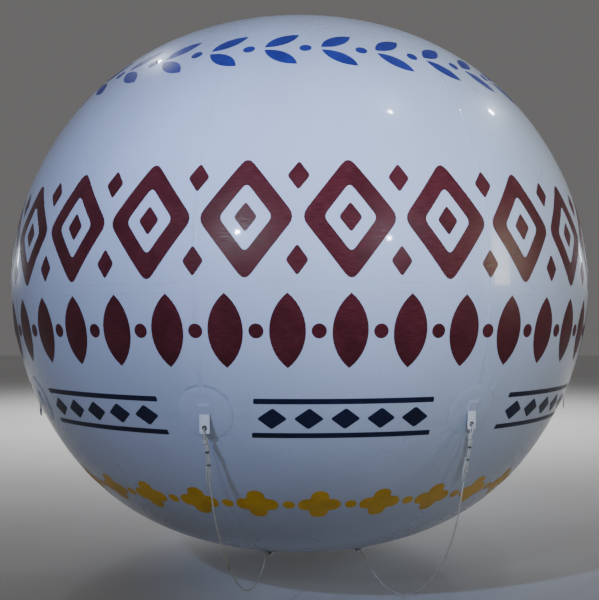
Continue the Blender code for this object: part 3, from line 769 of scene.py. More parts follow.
def build_studio():
    """Small lamps that the film mirrors, soft lights in front, at one side and behind, and a lit floor."""
    panel_light("left_lamp", (-2.48, -7.05, 2.05), (0.75, 0, 0.22), (0.12, 0.12), 4, 40)
    panel_light("right_lamp", (3.53, -6.62, 1.78), (0.3, 0, 0.5), (0.17, 0.17), 3, 40)
    for number, place in enumerate(((-3.17, 2.35, 5.40), (3.02, -2.81, 6.04), (4.80, 1.43, 4.67)), start=1):
        panel_light(f"ceiling_lamp_{number}", place, (0, 0, 0.4), (0.16, 0.16), 3, 50)
    blue, pale_blue = (0.41, 0.55, 1.0), (0.56, 0.705, 1.0)
    panel_light("key_light", (-3.4, -6.2, 2.55), (0.6, 0, -0.1), (0.17, 0.17), 19, 36, blue, False)
    panel_light("front_light", (0.8, -8.0, 1.5), (0.6, 0, 0.3), (1.0, 1.0), 18, 28, pale_blue, False)
    panel_light("side_light", (6.74, -2.70, 1.22), (0, 0, 0.8), (0.9, 2.6), 9, 44, (1.0, 0.94, 0.64))
    panel_light("back_light", (-0.5, 8.0, 1.0), (0, 0.4, 0.5), (1.2, 1.2), 28, 27)
    panel_light("left_back_light", (-6.2, 5.2, 1.0), (-0.3, 0.8, 0.5), (1.2, 1.2), 24, 27)
    panel_light("right_back_light", (6.2, 5.2, 1.0), (0.3, 0.8, 0.5), (1.2, 1.2), 24, 27)
    panel_light("floor_light", (0, 8.5, 5.0), (0, 9.0, FLOOR_HEIGHT), (14.0, 7.0), 520, 110, (1.0, 1.0, 1.0))

    world = bpy.data.worlds.new("studio")
    world.use_nodes = True
    backdrop = world.node_tree.nodes["Background"].inputs
    backdrop["Color"].default_value = (0.88, 0.86, 0.85, 1.0)
    backdrop["Strength"].default_value = 0.168
    bpy.context.scene.world = world

    bm = bmesh.new()
    bmesh.ops.create_circle(bm, cap_ends=True, segments=ROUND_STEPS, radius=FLOOR_RADIUS)
    bmesh.ops.translate(bm, verts=bm.verts, vec=(0, 0, FLOOR_HEIGHT))
    mesh = finished(bm)
    pale = Finish("pale_floor", (0.80, 0.80, 0.80), 0.7)
    cloud = pale.patchy(0.3, 0.7, 0.7)
    mesh.materials.append(pale.finish(pale.mix(cloud, (0.81, 0.81, 0.81, 1.0), (0.78, 0.78, 0.78, 1.0))))
    floor = bpy.data.objects.new("studio_floor", mesh)
    bpy.context.collection.objects.link(floor)


# Ropes

def smooth_through(points, spacing):
    """Evenly spaced points on a smooth curve through the given ones."""
    points = [Vector(point) for point in points]
    padded = [2 * points[0] - points[1], *points, 2 * points[-1] - points[-2]]
    fine = []
    for before, start, end, after in zip(padded, padded[1:], padded[2:], padded[3:]):
        for t in even_steps(0, 1, 20)[:-1]:
            fine.append(
                0.5 * (2 * start + (end - before) * t
                       + (2 * before - 5 * start + 4 * end - after) * t * t
                       + (3 * start - before - 3 * end + after) * t ** 3)
            )
    fine.append(points[-1])
    along = [0.0]
    for first, second in zip(fine, fine[1:]):
        along.append(along[-1] + (second - first).length)
    spaced = []
    segment = 0
    for target in even_steps(0.0, along[-1], max(2, round(along[-1] / spacing))):
        while segment < len(fine) - 2 and along[segment + 1] < target:
            segment += 1
        share = (target - along[segment]) / (along[segment + 1] - along[segment])
        spaced.append(fine[segment].lerp(fine[segment + 1], min(share, 1.0)))
    return spaced


def strand_section(diameter, strands):
    """A rope's outline across its strands, as (angle, reach) at each corner."""
    corners = 5 * strands
    strand_radius = diameter / 2 / (1 + 1 / math.sin(math.pi / strands))
    centre_radius = diameter / 2 - strand_radius
    groove_radius = diameter * 0.41
    fullness = 1.03
    for number in range(corners):
        angle = math.tau * number / corners
        off = angle - round(angle * strands / math.tau) * math.tau / strands
        half_chord = math.sqrt(max(strand_radius ** 2 - (centre_radius * math.sin(off)) ** 2, 0.0))
        yield angle, max(centre_radius * math.cos(off) + half_chord, groove_radius) * fullness


def laid_rope(line, diameter=ROPE_DIAMETER, lay=ROPE_LAY, strands=3):
    """A rope of twisted strands along a line of close points."""
    section = list(strand_section(diameter, strands))
    bm = bmesh.new()
    side = None
    ring = None
    travelled = 0.0
    for number, point in enumerate(line):
        ahead = (line[min(number + 1, len(line) - 1)] - line[max(number - 1, 0)]).normalized()
        if side is None:
            side = ahead.orthogonal()
        side = (side - ahead * side.dot(ahead)).normalized()
        up = ahead.cross(side)
        if number:
            travelled += (point - line[number - 1]).length
        twist = math.tau * travelled / lay
        corners = []
        for angle, reach in section:
            turn = angle + twist
            corners.append(point + (side * math.cos(turn) + up * math.sin(turn)) * reach)
        verts, edges = closed_edges(bm, corners)
        if ring:
            bmesh.ops.bridge_loops(bm, edges=ring + edges)
        else:
            bm.faces.new(verts)
        ring = edges
    bm.faces.new(verts)
    return mesh_of(bm, 180.0)


def rope_through(points, diameter=ROPE_DIAMETER, lay=ROPE_LAY, strands=3, spacing=ROPE_SPACING):
    """A laid rope on a smooth curve through a few points."""
    return laid_rope(smooth_through(points, spacing), diameter, lay, strands)


def coil_route(centre, first, second, turns, climb, start=0.0):
    """Points of a coil round a centre; first and second span its circle, and climb is its height in all."""
    count = round(16 * turns)
    axis = first.cross(second).normalized()
    for number in range(count + 1):
        angle = start + math.tau * turns * number / count
        lift = climb * (number / count - 0.5)
        yield centre + first * math.cos(angle) + second * math.sin(angle) + axis * lift


def leg_points(route):
    """A leg's line at azimuth 0, from inside its knot to its end."""
    return [KNOT_CENTRE - Vector((0, 0, KNOT_TUCK)), *(round_axis(out, 0, height) for out, height in route)]


def on_leg(line, drop):
    """The place on a leg's line at a drop below its knot's centre."""
    height = KNOT_CENTRE.z - drop
    above, below = next(pair for pair in zip(line, line[1:]) if pair[1].z <= height)
    return above.lerp(below, (above.z - height) / (above.z - below.z))


def spare_ends(line):
    """The routes of the two spare ends beside a leg."""
    across, down = TAIL_ROOT
    first = [KNOT_CENTRE + Vector((0, 0, KNOT_TUCK)), KNOT_CENTRE + Vector((across, 0, -down))]
    first += [on_leg(line, drop) + Vector((TAIL_OFFSET, 0, 0)) for drop in TAIL_DROPS]
    second = [on_leg(line, drop) + Vector((across, inward, 0)) for across, inward, drop in SECOND_END]
    return first, second


def hitch_mesh(line):
    """The rope's bight through the eyelet, the coiled hitch that grips it, and the spare ends."""

    def half_bight(outward):
        """From the eyelet into the knot, on one side of the strip."""
        end_out, end_drop = BIGHT_END
        route = [EYELET_CENTRE + outward * out + TAB_DOWN * drop for out, drop in BIGHT_ROUTE]
        route.append(KNOT_CENTRE + outward * BIGHT_HALF_SPAN)
        route.append(KNOT_CENTRE + outward * end_out - Vector((0, 0, end_drop)))
        return route

    middle = EYELET_CENTRE + TAB_DOWN * (EYELET_HOLE_RADIUS - ROPE_DIAMETER / 2 - BIGHT_GAP)
    bight = [*reversed(half_bight(TAB_OUTWARD)), middle, *half_bight(-TAB_OUTWARD)]
    circle = Vector((COIL_RADIUS, 0, 0)), Vector((0, COIL_RADIUS, 0))
    coil = coil_route(KNOT_CENTRE, *circle, COIL_TURNS, COIL_CLIMB)
    parts = [rope_through(bight), rope_through(coil, COIL_DIAMETER, COIL_LAY)]
    parts += [rope_through(route) for route in spare_ends(line)]
    return joined(parts)


def frayed_ends_mesh(line, rng):
    """The unlaid fibres at the tips of the spare ends."""
    parts = []
    for tip in (route[-1] for route in spare_ends(line)):
        for number in range(FRAY_FIBRES):
            angle = math.tau * number / FRAY_FIBRES + rng.uniform(-0.2, 0.2)
            spread = rng.uniform(*FRAY_SPREAD)
            drop = Vector((0, 0, rng.uniform(*FRAY_DROP)))
            side = Vector((math.cos(angle), math.sin(angle), 0))
            route = [tip + side * FRAY_ROOT[0] + Vector((0, 0, FRAY_TUCK)), tip + side * FRAY_ROOT[1]]
            route += [tip + side * spread * 0.6 - drop * 0.5, tip + side * spread - drop]
            parts.append(rope_through(route, FRAY_DIAMETER, FIBRE_LAY, 2, FIBRE_SPACING))
    return joined(parts)


def winding_mesh(line, drop, diameter, turns):
    """Twine or cord wound close round the leg and the first spare end together."""
    near = 0.005
    pitch = diameter * 1.05
    across = Vector((1, 0, 0))
    up = (on_leg(line, drop - near) - on_leg(line, drop + near)).normalized()
    inward = up.cross(across)
    middle = on_leg(line, drop) + across * TAIL_OFFSET / 2
    grip = (ROPE_DIAMETER + diameter) / 2
    count = round(20 * turns)
    route = []
    for number in range(count + 1):
        angle = math.tau * turns * number / count
        to_side = math.copysign(TAIL_OFFSET / 2, math.cos(angle)) + grip * math.cos(angle)
        climb = pitch * turns * (number / count - 0.5)
        route.append(middle + across * to_side + inward * grip * math.sin(angle) + up * climb)
    return rope_through(route, diameter, diameter * 4.5, 2, WINDING_SPACING)


def loosened_mesh(line, rng):
    """Strands and fibres that have opened and stand away from the leg along a stretch of it."""
    stretch = [point for point in line if LOOSENED_TO <= -point.y <= LOOSENED_FROM]
    across = Vector((1, 0, 0))
    ahead = (stretch[-1] - stretch[0]).normalized()
    inward = ahead.cross(across)

    def place(share, angle, reach):
        centre = stretch[min(round(share * (len(stretch) - 1)), len(stretch) - 1)]
        return centre + (across * math.cos(angle) + inward * math.sin(angle)) * reach

    parts = []
    for number in range(LOOSE_STRANDS):
        phase = math.tau * number / LOOSE_STRANDS + rng.uniform(-0.3, 0.3)
        swell = rng.uniform(*LOOSE_STRAND_SWELL)
        route = []
        for share in even_steps(0, 1, LOOSE_STRAND_STEPS):
            reach = LOOSE_STRAND_ROOT + swell * math.sin(math.pi * share) ** 0.7
            route.append(place(share, phase + LOOSE_STRAND_TWIST * share, reach))
        parts.append(rope_through(route, LOOSE_STRAND_DIAMETER, LOOSE_STRAND_LAY, 2))
    for number in range(LOOSE_FIBRES):
        share = rng.uniform(0.08, 0.85)
        angle = rng.uniform(0, math.tau)
        reach = rng.uniform(*LOOSE_FIBRE_REACH)
        route = [place(share, angle, LOOSE_FIBRE_ROOT), place(share + 0.05, angle + 0.3, reach * 0.75)]
        route.append(place(share + 0.12, angle + 0.5, reach))
        parts.append(rope_through(route, LOOSE_FIBRE_DIAMETER, FIBRE_LAY, 2, FIBRE_SPACING))
    return joined(parts)


def stopper_mesh(end, ahead):
    """The stopper knot that keeps the rope's end in its belay loop, with a short tip."""
    side = ahead.cross(Vector((0, 0, 1))).normalized()
    up = side.cross(ahead).normalized()
    centre = end + ahead * STOPPER_DISTANCE
    circle = side * STOPPER_RADIUS, up * STOPPER_RADIUS
    coil = coil_route(centre, *circle, STOPPER_TURNS, STOPPER_CLIMB, STOPPER_START)
    core = [end + ahead * along + up * rise for along, rise in STOPPER_ROUTE]
    return joined([rope_through(coil, STOPPER_DIAMETER, COIL_LAY), rope_through(core)])


def build_rope(name, azimuth, route, fibre, twine):
    """A slack leg with its hitch, frayed ends, seizing, whippings and stopper knot."""

    def rope_piece(part, mesh, finish=fibre, replaced=()):
        nodes = [f"{node}_{name}" for node in replaced]
        return piece(f"{part}_{name}", mesh, finish, azimuth, nodes)

    rng = random.Random(len(name))
    line = smooth_through(leg_points(route), ROPE_SPACING)
    leg = rope_piece("slack_rope", laid_rope(line), replaced=["rope_leg"])
    extras = [
        rope_piece("hitch", hitch_mesh(line), replaced=["rope_hitch"]),
        rope_piece("frayed_ends", frayed_ends_mesh(line, rng)),
        rope_piece("seizing", winding_mesh(line, SEIZING_DROP, SEIZING_DIAMETER, SEIZING_TURNS)),
    ]
    for number, drop in enumerate(WHIPPING_DROPS, start=1):
        whipping = winding_mesh(line, drop, TWINE_DIAMETER, WHIPPING_TURNS)
        extras.append(rope_piece(f"whipping_{number}", whipping, twine))
    if name == "front_left":
        extras.append(rope_piece("loosened_strands", loosened_mesh(line, rng)))
    ahead = (line[-1] - line[-3]).normalized()
    extras.append(rope_piece("stopper_knot", stopper_mesh(line[-1], ahead)))

    root_out, root_height = route[0]
    exit_point = about_z(azimuth) @ round_axis(root_out, 0, root_height)


def build_ropes(fibre, twine):
    for name, azimuth, route, length in LEGS:
        build_rope(name, azimuth, route, fibre, twine)


# Envelope

def build_skin(finish):
    """The whole gas envelope as one film, open only for the valve."""
    latitudes = even_steps(90, -VALVE_HOLE_LATITUDE, SKIN_ROWS)
    outer = [meridian(latitude) for latitude in latitudes]
    inner = [meridian(latitude, -FILM_THICKNESS) for latitude in reversed(latitudes)]
    profile = [(max(point.x, 0.0), point.y) for point in outer + inner]
    mesh = mesh_of(turned(on_axis(profile), SKIN_STEPS, closed=False))
    gores = [f"envelope_gore_{number}" for number in range(1, GORE_COUNT + 1)]
    piece("envelope_film", mesh, finish, FIRST_AZIMUTH - 90, replaced=gores)


def weld_mesh():
    """The welded lap at a seam between gores, from cap to cap."""
    bm = bmesh.new()
    rows = []
    for latitude in even_steps(SEAM_END_LATITUDE, -SEAM_END_LATITUDE, SEAM_ROWS):
        verts = []
        for across, lift in SEAM_PROFILE:
            out, height = meridian(latitude, SEAM_LIFT * lift + SEAM_GAP)
            verts.append(bm.verts.new(round_axis(out, across * SEAM_WIDTH / out, height)))
        rows.append([bm.edges.new(pair) for pair in zip(verts, verts[1:])])
    for above, below in zip(rows, rows[1:]):
        bmesh.ops.bridge_loops(bm, edges=above + below)
    bmesh.ops.recalc_face_normals(bm, faces=bm.faces)
    bm.faces.ensure_lookup_table()
    middle = bm.faces[len(bm.faces) // 2]
    if middle.normal.dot(middle.calc_center_median()) < 0:
        bmesh.ops.reverse_faces(bm, faces=bm.faces)
    return finished(bm)


def build_welds(finish):
    weld = weld_mesh()
    for number, azimuth in enumerate(SEAMS, start=1):
        piece(f"gore_weld_{number}", weld, finish, azimuth)


def disc_sheet(radius, rings, steps):
    """A flat round sheet made of rings."""
    bm = bmesh.new()
    bmesh.ops.create_circle(bm, cap_ends=False, segments=steps, radius=radius / rings)
    edges = bm.edges[:]
    centre = bmesh.ops.create_vert(bm, co=(0, 0, 0))["vert"][0]
    for edge in edges:
        bm.faces.new((centre, *edge.verts))
    for ring in range(2, rings + 1):
        extruded = bmesh.ops.extrude_edge_only(bm, edges=edges)["geom"]
        verts = [item for item in extruded if isinstance(item, bmesh.types.BMVert)]
        edges = [item for item in extruded if isinstance(item, bmesh.types.BMEdge)
                 and all(vert in verts for vert in item.verts)]
        factor = ring / (ring - 1)
        bmesh.ops.scale(bm, verts=verts, vec=(factor, factor, 1))
    face_up(bm)
    return bm


def round_patch_mesh(latitude, radius, rings, steps):
    """A round film patch, thinner at its welded rim, laid on the envelope."""
    bm = disc_sheet(radius, rings, steps)
    thicken(bm, -PATCH_THICKNESS)
    for vert in bm.verts:
        on_rim = math.hypot(vert.co.x, vert.co.y) > radius * 0.999
        if on_rim and vert.co.z > -1e-9:
            vert.co.z = -PATCH_RIM_DROP
    lay_on_envelope(bm, latitude, lift=PATCH_LIFT)
    return mesh_of(bm)


def build_caps(finish):
    """The round caps over the gores' tips, at the crown and round the valve."""
    caps = ("crown", 1, 90.0, "crown_cap"), ("foot", -1, VALVE_HOLE_LATITUDE, "base_cap")
    for name, side, inner, replaced in caps:
        latitudes = even_steps(inner, CAP_EDGE_LATITUDE, CAP_RINGS)
        face = [meridian(side * latitude, CAP_LIFT) for latitude in latitudes[:-1]]
        rim = meridian(side * CAP_RIM_LATITUDE, CAP_LIFT - CAP_RIM_DROP)
        back = [meridian(side * latitude, CAP_LIFT - CAP_THICKNESS) for latitude in reversed(latitudes)]
        profile = [(abs(point.x), point.y) for point in (*face, rim, *back)]
        if side > 0:
            profile = on_axis(profile)
        bm = turned(profile, ROUND_STEPS, closed=side < 0)
        write_flat_map(bm)
        piece(f"{name}_cap_film", mesh_of(bm), finish, replaced=[replaced])


# Rope tabs and belay loops

def cover_mesh():
    """The film that is welded over the tab's flange and lets the strip out at its lower edge."""
    bm = bmesh.new()
    half = COVER_WIDTH / 2
    low, high = COVER_FOOT, COVER_HEIGHT + COVER_FOOT
    outline = rounded([(half, low), (half, high), (-half, high), (-half, low)], COVER_CORNER, 6)
    bm.faces.new([bm.verts.new((x, y, 0)) for x, y in outline])
    slice_up(bm, COVER_GRID)
    write_flat_map(bm)
    for vert in bm.verts:
        beside = max(abs(vert.co.x) - TAB_WIDTH / 2, 0.0)
        above = max(vert.co.y - TAB_FLANGE, 0.0)
        vert.co.z = COVER_LIFT + COVER_RISE * (1 - smooth_step(math.hypot(beside, above) / COVER_SLOPE))
    thicken(bm, -COVER_THICKNESS)
    lay_on_envelope(bm, TAB_LATITUDE)
    return mesh_of(bm)


def tab_strip_mesh():
    """The coated strip: its flange on the patch, its hanging part with the eyelet's hole."""
    half = TAB_WIDTH / 2
    inset = half - TAB_CORNER
    foot = TAB_CORNER - TAB_DROP
    outline = [(half, TAB_FLANGE), (half, TAB_CREASE), (half, -TAB_CREASE)]
    outline += arc((inset, foot), TAB_CORNER, 0, -90, 6) + arc((-inset, foot), TAB_CORNER, -90, -180, 6)
    outline += [(-half, -TAB_CREASE), (-half, TAB_CREASE), (-half, TAB_FLANGE)]
    bm = bmesh.new()
    fill(bm, [outline, arc((0, -EYELET_DROP), EYELET_BARREL_RADIUS + EYELET_GAP, 0, 360, 32)[:-1]])
    for height in TAB_ROWS:
        cut_across(bm, (0, height, 0), (0, 1, 0))
    face_up(bm)
    thicken(bm, TAB_THICKNESS)
    soften_edges(bm, TAB_EDGE, clamp_overlap=False)
    one_degree = degree_length(TAB_LATITUDE)
    for vert in bm.verts:
        x, y, z = vert.co
        hanging = TAB_ROOT + Vector((x, 0, 0)) - TAB_DOWN * y + TAB_OUTWARD * z
        out, height = meridian(TAB_LATITUDE + y / one_degree, TAB_LIFT + z)
        lying = round_axis(out, x / out, height)
        vert.co = hanging.lerp(lying, smooth_step((y + TAB_FOLD) / (2 * TAB_FOLD)))
    return mesh_of(bm)


def grommet_mesh():
    """A rolled eyelet: a barrel through the strip, rolled out over a washer on each face."""
    middle = (EYELET_HOLE_RADIUS + EYELET_FLANGE_RADIUS) / 2
    half = (EYELET_FLANGE_RADIUS - EYELET_HOLE_RADIUS) / 2
    front = []
    for angle in even_steps(0, math.pi, 10):
        front.append((middle - half * math.cos(angle), EYELET_SEAT + EYELET_LIP * math.sin(angle)))
    profile = front + [(EYELET_BARREL_RADIUS, EYELET_SEAT), (EYELET_BARREL_RADIUS, -EYELET_SEAT)]
    profile += [(radius, -height) for radius, height in reversed(front)]
    bm = turned(profile, 40, closed=True)
    turn = Vector((0, 0, 1)).rotation_difference(TAB_OUTWARD).to_matrix().to_4x4()
    bmesh.ops.transform(bm, verts=bm.verts, matrix=Matrix.Translation(EYELET_CENTRE) @ turn)
    return mesh_of(bm, 60.0)


def build_tabs(patch, strip, metal):
    patch_mesh = round_patch_mesh(TAB_LATITUDE, LOAD_PATCH_RADIUS, 8, 64)
    cover = cover_mesh()
    tab = tab_strip_mesh()
    grommet = grommet_mesh()
    for number, azimuth in enumerate(SEAMS, start=1):
        piece(f"load_patch_film_{number}", patch_mesh, patch, azimuth, [f"load_patch_{number}"])
        piece(f"tab_cover_{number}", cover, patch, azimuth)
        piece(f"tab_strip_{number}", tab, strip, azimuth, [f"rope_tab_{number}"])
        piece(f"grommet_{number}", grommet, metal, azimuth, [f"eyelet_{number}"])


def loop_strap_mesh():
    """A webbing strap whose feet lie on the belay patch and whose middle bridges over the rope."""
    side = LOOP_HALF_SPAN + LOOP_THICKNESS
    toe = LOOP_HALF_SPAN + LOOP_FOOT
    base = TAB_LIFT
    foot_top = base + LOOP_THICKNESS
    bend = (side - LOOP_BEND, base + LOOP_RISE - LOOP_BEND)
    right = [(toe, base), (toe, foot_top), (side, foot_top), *arc(bend, LOOP_BEND, 0, 90, 8)]
    under = [(LOOP_HALF_SPAN, base), *arc(bend, LOOP_BEND - LOOP_THICKNESS, 0, 90, 8)]
    outline = right + [(-x, z) for x, z in reversed(right)] + [(-x, z) for x, z in under] + under[::-1]
    bm = block([(x, -LOOP_WIDTH / 2, z) for x, z in outline], (0, LOOP_WIDTH, 0), LOOP_EDGE)
    write_flat_map(bm)
    lay_on_envelope(bm, BELAY_LATITUDE)
    return mesh_of(bm)


def build_belays(patch, strip):
    patch_mesh = round_patch_mesh(BELAY_LATITUDE, BELAY_PATCH_RADIUS, 5, 48)
    strap = loop_strap_mesh()
    for name, azimuth, *_ in LEGS:
        piece(f"belay_patch_film_{name}", patch_mesh, patch, azimuth, [f"belay_patch_{name}"])
        piece(f"belay_strap_{name}", strap, strip, azimuth, [f"belay_loop_{name}"])


# Valve

def rod_mesh(outer, inner, width):
    """A tube along X about the hinge's axis, or a rod where inner is nought."""
    half = width / 2
    edge = min(MOULDED_EDGE, outer * 0.3)
    corners = [(inner, -half), (outer - edge, -half), (outer, -half + edge)]
    corners += [(radius, -along) for radius, along in reversed(corners)]
    bm = turned(corners, 32, closed=inner > 0)
    turn = Matrix.Rotation(math.pi / 2, 4, "Y")
    bmesh.ops.transform(bm, verts=bm.verts, matrix=Matrix.Translation(HINGE_AXIS) @ turn)
    return mesh_of(bm)


def upright_plate_mesh(outline, start, width):
    """A moulded plate with its outline in Y and Z, from start along X."""
    return mesh_of(block([(start, y, z) for y, z in outline], (width, 0, 0), PLATE_EDGE))


def rib_mesh(start, end, width, low, high, bearing=0.0):
    """A straight moulded rib from one distance from the axis to another, turned to its bearing."""
    half = width / 2
    foot = [(start, -half, low), (end, -half, low), (end, half, low), (start, half, low)]
    mesh = mesh_of(block(foot, (0, 0, high - low), width * 0.28))
    mesh.transform(about_z(bearing))
    return mesh


def screw_mesh(bearing):
    """A pan-headed screw with a round socket, under the flange."""
    face = VALVE_FACE + SCREW_LIFT
    profile = [(SCREW_RADIUS * share, face - height) for share, height in SCREW_SOCKET]
    for angle in SCREW_ROUND:
        profile.append((SCREW_RADIUS * math.cos(angle), face - SCREW_HEIGHT * math.sin(angle)))
    mesh = mesh_of(turned(profile, 18, closed=False))
    mesh.transform(Matrix.Translation((SCREW_CIRCLE * math.cos(math.radians(bearing)),
                                       SCREW_CIRCLE * math.sin(math.radians(bearing)), 0)))
    return mesh


def valve_body_mesh():
    """The collar and flange with a bead round the rim, and the two lugs that carry the lid's pin."""
    collar_top = VALVE_TOP + VALVE_COLLAR_HEIGHT
    crest = VALVE_FACE - BEAD_HEIGHT
    ring = rounded([
        (VALVE_BORE_RADIUS, VALVE_FACE), (BEAD_RADIUS - BEAD_HALF_FOOT, VALVE_FACE),
        (BEAD_RADIUS - BEAD_HALF_CREST, crest), (BEAD_RADIUS + BEAD_HALF_CREST, crest),
        (BEAD_RADIUS + BEAD_HALF_FOOT, VALVE_FACE), (VALVE_FLANGE_RADIUS, VALVE_FACE),
        (VALVE_FLANGE_RADIUS, VALVE_TOP), (VALVE_COLLAR_RADIUS, VALVE_TOP),
        (VALVE_COLLAR_RADIUS, collar_top), (VALVE_BORE_RADIUS, collar_top),
    ], MOULDED_EDGE, 3)
    parts = [mesh_of(turned(ring, ROUND_STEPS, closed=True))]
    root = VALVE_FLANGE_RADIUS - HINGE_LUG_INSET
    lug = [(root, VALVE_FACE + MOULDED_LAP), (root, HINGE_AXIS.z)]
    lug += arc(HINGE_AXIS.yz, HINGE_KNUCKLE_RADIUS, -120, 90, 12)
    lug.append((VALVE_FLANGE_RADIUS - HINGE_LUG_SLOPE, VALVE_TOP - MOULDED_LAP))
    inside = HINGE_KNUCKLE_WIDTH / 2 + VALVE_SEAT_GAP
    for start in (inside, -inside - HINGE_LUG_WIDTH):
        parts.append(upright_plate_mesh(lug, start, HINGE_LUG_WIDTH))
    return joined(parts, SHARP_ANGLE)


def lid_disc_mesh(seat, face):
    """The rimmed disc with its raised hub."""
    wide = LID_RADIUS - MOULDED_EDGE
    inner = LID_RADIUS - LID_RIM_WIDTH
    low = face - LID_RIM + MOULDED_EDGE
    profile = [(0, seat), *arc((wide, seat - MOULDED_EDGE), MOULDED_EDGE, 90, 0, 3)]
    profile += arc((wide, low), MOULDED_EDGE, 0, -90, 3)
    profile += arc((inner + MOULDED_EDGE, low), MOULDED_EDGE, -90, -150, 2)
    profile.append((inner - LID_RIM_SLOPE, face))
    profile += [(LID_HUB_RADIUS + out, face - height) for out, height in LID_HUB_RING]
    return mesh_of(turned([*profile, (0, face)], ROUND_STEPS, closed=False))


def thumb_tab_meshes(top):
    """The tab that opens the lid, with its ridges."""
    side = THUMB_TAB_WIDTH / 2
    low = top - THUMB_TAB_THICKNESS
    root, tip = -LID_RADIUS + THUMB_TAB_ROOT, -LID_RADIUS - THUMB_TAB_REACH
    outline = rounded([(side, root), (-side, root), (-side, tip), (side, tip)], THUMB_TAB_CORNER, 5)
    yield mesh_of(block([(x, y, top) for x, y in outline], (0, 0, -THUMB_TAB_THICKNESS), THUMB_TAB_EDGE))
    half = THUMB_RIDGE_LENGTH / 2
    for out in THUMB_RIDGES:
        ridge = rib_mesh(-half, half, THUMB_RIDGE_WIDTH, low - THUMB_RIDGE_HEIGHT, low + THUMB_RIDGE_LAP)
        ridge.transform(Matrix.Translation((0, -LID_RADIUS - out, 0)))
        yield ridge


def valve_lid_mesh():
    """The lid: a rimmed disc with a hub and ribs, its hinge arm and knuckle, and a ridged thumb tab."""
    seat = VALVE_FACE - VALVE_SEAT_GAP
    face = seat - LID_THICKNESS
    parts = [lid_disc_mesh(seat, face)]
    for number in range(LID_RIB_COUNT):
        heights = face - LID_RIB_HEIGHT, face + MOULDED_LAP
        bearing = 30 + 360 * number / LID_RIB_COUNT
        parts.append(rib_mesh(LID_HUB_RADIUS, LID_RADIUS - LID_RIM_WIDTH, LID_RIB_WIDTH, *heights, bearing))
    _, pin_out, pin_height = HINGE_AXIS
    root = LID_RADIUS - LID_ARM_INSET
    top = seat - MOULDED_LAP
    arm = [(root, top), (root, pin_height), (pin_out - HINGE_PIN_RADIUS, pin_height - LID_ARM_DROP)]
    arm += [(pin_out - LID_ARM_REACH, pin_height + HINGE_PIN_RADIUS), (VALVE_FLANGE_RADIUS, top)]
    parts.append(upright_plate_mesh(arm, -HINGE_KNUCKLE_WIDTH / 2, HINGE_KNUCKLE_WIDTH))
    parts.append(rod_mesh(HINGE_KNUCKLE_RADIUS, HINGE_PIN_RADIUS + VALVE_SEAT_GAP, HINGE_KNUCKLE_WIDTH))
    parts += thumb_tab_meshes(top)
    return joined(parts, SHARP_ANGLE)


def build_valve(plastic, metal):
    """The moulded inflation valve, its screws and pin, and its hinged lid."""
    piece("valve_moulding", valve_body_mesh(), plastic, replaced=["valve_body"])
    lid = valve_lid_mesh()
    piece("valve_lid_moulding", lid, plastic, replaced=["valve_lid"], body="lid")
    screws = [screw_mesh(360 / SCREW_COUNT * (number + 0.5)) for number in range(SCREW_COUNT)]
    piece("valve_screws", joined(screws, SHARP_ANGLE), metal)
    pin_width = HINGE_KNUCKLE_WIDTH + 2 * (VALVE_SEAT_GAP + HINGE_LUG_WIDTH + HINGE_PIN_REACH)
    piece("hinge_pin", rod_mesh(HINGE_PIN_RADIUS, 0, pin_width), metal)


# Painted decoration: level rows of plain shapes, right round the balloon

def diamond(half_width, half_height, corner):
    return rounded([(half_width, 0), (0, half_height), (-half_width, 0), (0, -half_height)], corner)


def pointed_oval(half_width, half_height):
    radius = (half_width ** 2 + half_height ** 2) / (2 * half_width)
    sweep = math.degrees(math.asin(half_height / radius))
    right = arc((half_width - radius, 0), radius, -sweep, sweep, 14)
    return right + [(-x, -y) for x, y in right[1:-1]]


def disc(radius):
    return arc((0, 0), radius, 0, 360, 20)[:-1]


def quatrefoil(radius):
    """Four round petals about a middle."""
    made = []
    for bearing in (0, 90, 180, 270):
        angle = math.radians(bearing)
        centre = (radius * math.cos(angle), radius * math.sin(angle))
        made += arc(centre, radius * 0.74, bearing - 100, bearing + 100, 7)
    return made


def leaf(length, width, turn, start):
    """A pointed oval that grows from its start along turn, in degrees."""
    angle = math.radians(turn - 90)
    made = []
    for x, y in shifted(pointed_oval(width / 2, length / 2), 0, length / 2):
        made.append((x * math.cos(angle) - y * math.sin(angle), x * math.sin(angle) + y * math.cos(angle)))
    return shifted(made, *start)


def bar(length, height, y):
    half = length / 2
    low, high = y - height / 2, y + height / 2
    return rounded([(half, low), (half, high), (-half, high), (-half, low)], RULE_CORNER, 3)


def shifted(outline, x, y=0.0):
    return [(px + x, py + y) for px, py in outline]


def painted_row(name, shapes, row, finish):
    """A motif laid on the envelope as thin sheets, repeated round the balloon as one piece.

    A shape is an outline, or a list of an outline and that of its hole.
    """
    latitude, count, first = row
    bm = bmesh.new()
    for shape in shapes:
        fill(bm, shape if isinstance(shape[0], list) else [shape])
    slice_up(bm, PAINT_GRID)
    face_up(bm)
    thicken(bm, -PAINT_THICKNESS)
    lay_on_envelope(bm, latitude, lift=PAINT_LIFT)
    motif = mesh_of(bm)
    copies = []
    for number in range(count):
        copies.append(motif.copy())
        copies[-1].transform(about_z(FIRST_AZIMUTH + first + 360 * number / count))
    piece(name, joined(copies, SHARP_ANGLE), finish)


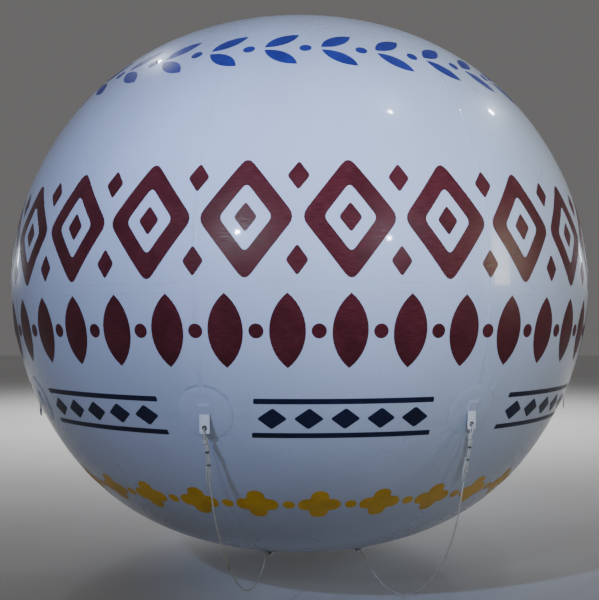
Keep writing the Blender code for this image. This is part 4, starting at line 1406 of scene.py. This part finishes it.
def build_decoration():
    maroon = paint_finish("maroon_enamel", (0.062, 0.0073, 0.0115), (0.103, 0.017, 0.024), (1.5, 14.0, 1.0))
    navy = paint_finish("navy_enamel", (0.0042, 0.0070, 0.023), (0.011, 0.015, 0.050), (1.5, 14.0, 1.0))
    blue = paint_finish("blue_enamel", (0.014, 0.022, 0.175), (0.026, 0.042, 0.26), (6.0, 6.0, 1.0))
    yellow = paint_finish("yellow_enamel", (0.66, 0.35, 0.003), (0.74, 0.45, 0.018), (6.0, 6.0, 1.0))

    large = [[diamond(0.226, 0.296, 0.05), diamond(0.124, 0.163, 0.03)[::-1]], diamond(0.054, 0.071, 0.015)]
    large += [shifted(diamond(0.052, 0.072, 0.015), 0.235, side * 0.196) for side in (-1, 1)]
    painted_row("large_diamonds", large, DIAMOND_ROW, maroon)
    ovals = [pointed_oval(0.082, 0.172), shifted(disc(0.034), 0.1415)]
    painted_row("pointed_ovals", ovals, OVAL_ROW, maroon)
    ruled = [bar(RULE_LENGTH, RULE_HEIGHT, RULE_OFFSET), bar(RULE_LENGTH, RULE_HEIGHT, -RULE_OFFSET)]
    ruled += [shifted(diamond(0.070, 0.056, 0.012), 0.17 * place) for place in (-2, -1, 0, 1, 2)]
    painted_row("ruled_row", ruled, RULED_ROW, navy)
    leaves = [leaf(0.215, 0.084, 38, (-0.100, 0.014)), leaf(0.215, 0.084, -38, (-0.100, -0.014))]
    painted_row("leaf_border", leaves + [shifted(disc(0.031), 0.107)], LEAF_ROW, blue)
    flowers = [quatrefoil(0.062), shifted(disc(0.030), 0.158)]
    painted_row("flower_border", flowers, FLOWER_ROW, yellow)


build_camera()
build_studio()
build_ropes(rope_finish("rope_fibre", (0.66, 0.64, 0.55)), rope_finish("tarred_twine", (0.11, 0.10, 0.085)))
build_skin(film_finish())
build_welds(weld_finish())
patch = patch_finish()
strip = webbing_finish()
metal = eyelet_finish()
build_caps(patch)
build_tabs(patch, strip, metal)
build_belays(patch, strip)
build_valve(plastic_finish(), metal)
build_decoration()
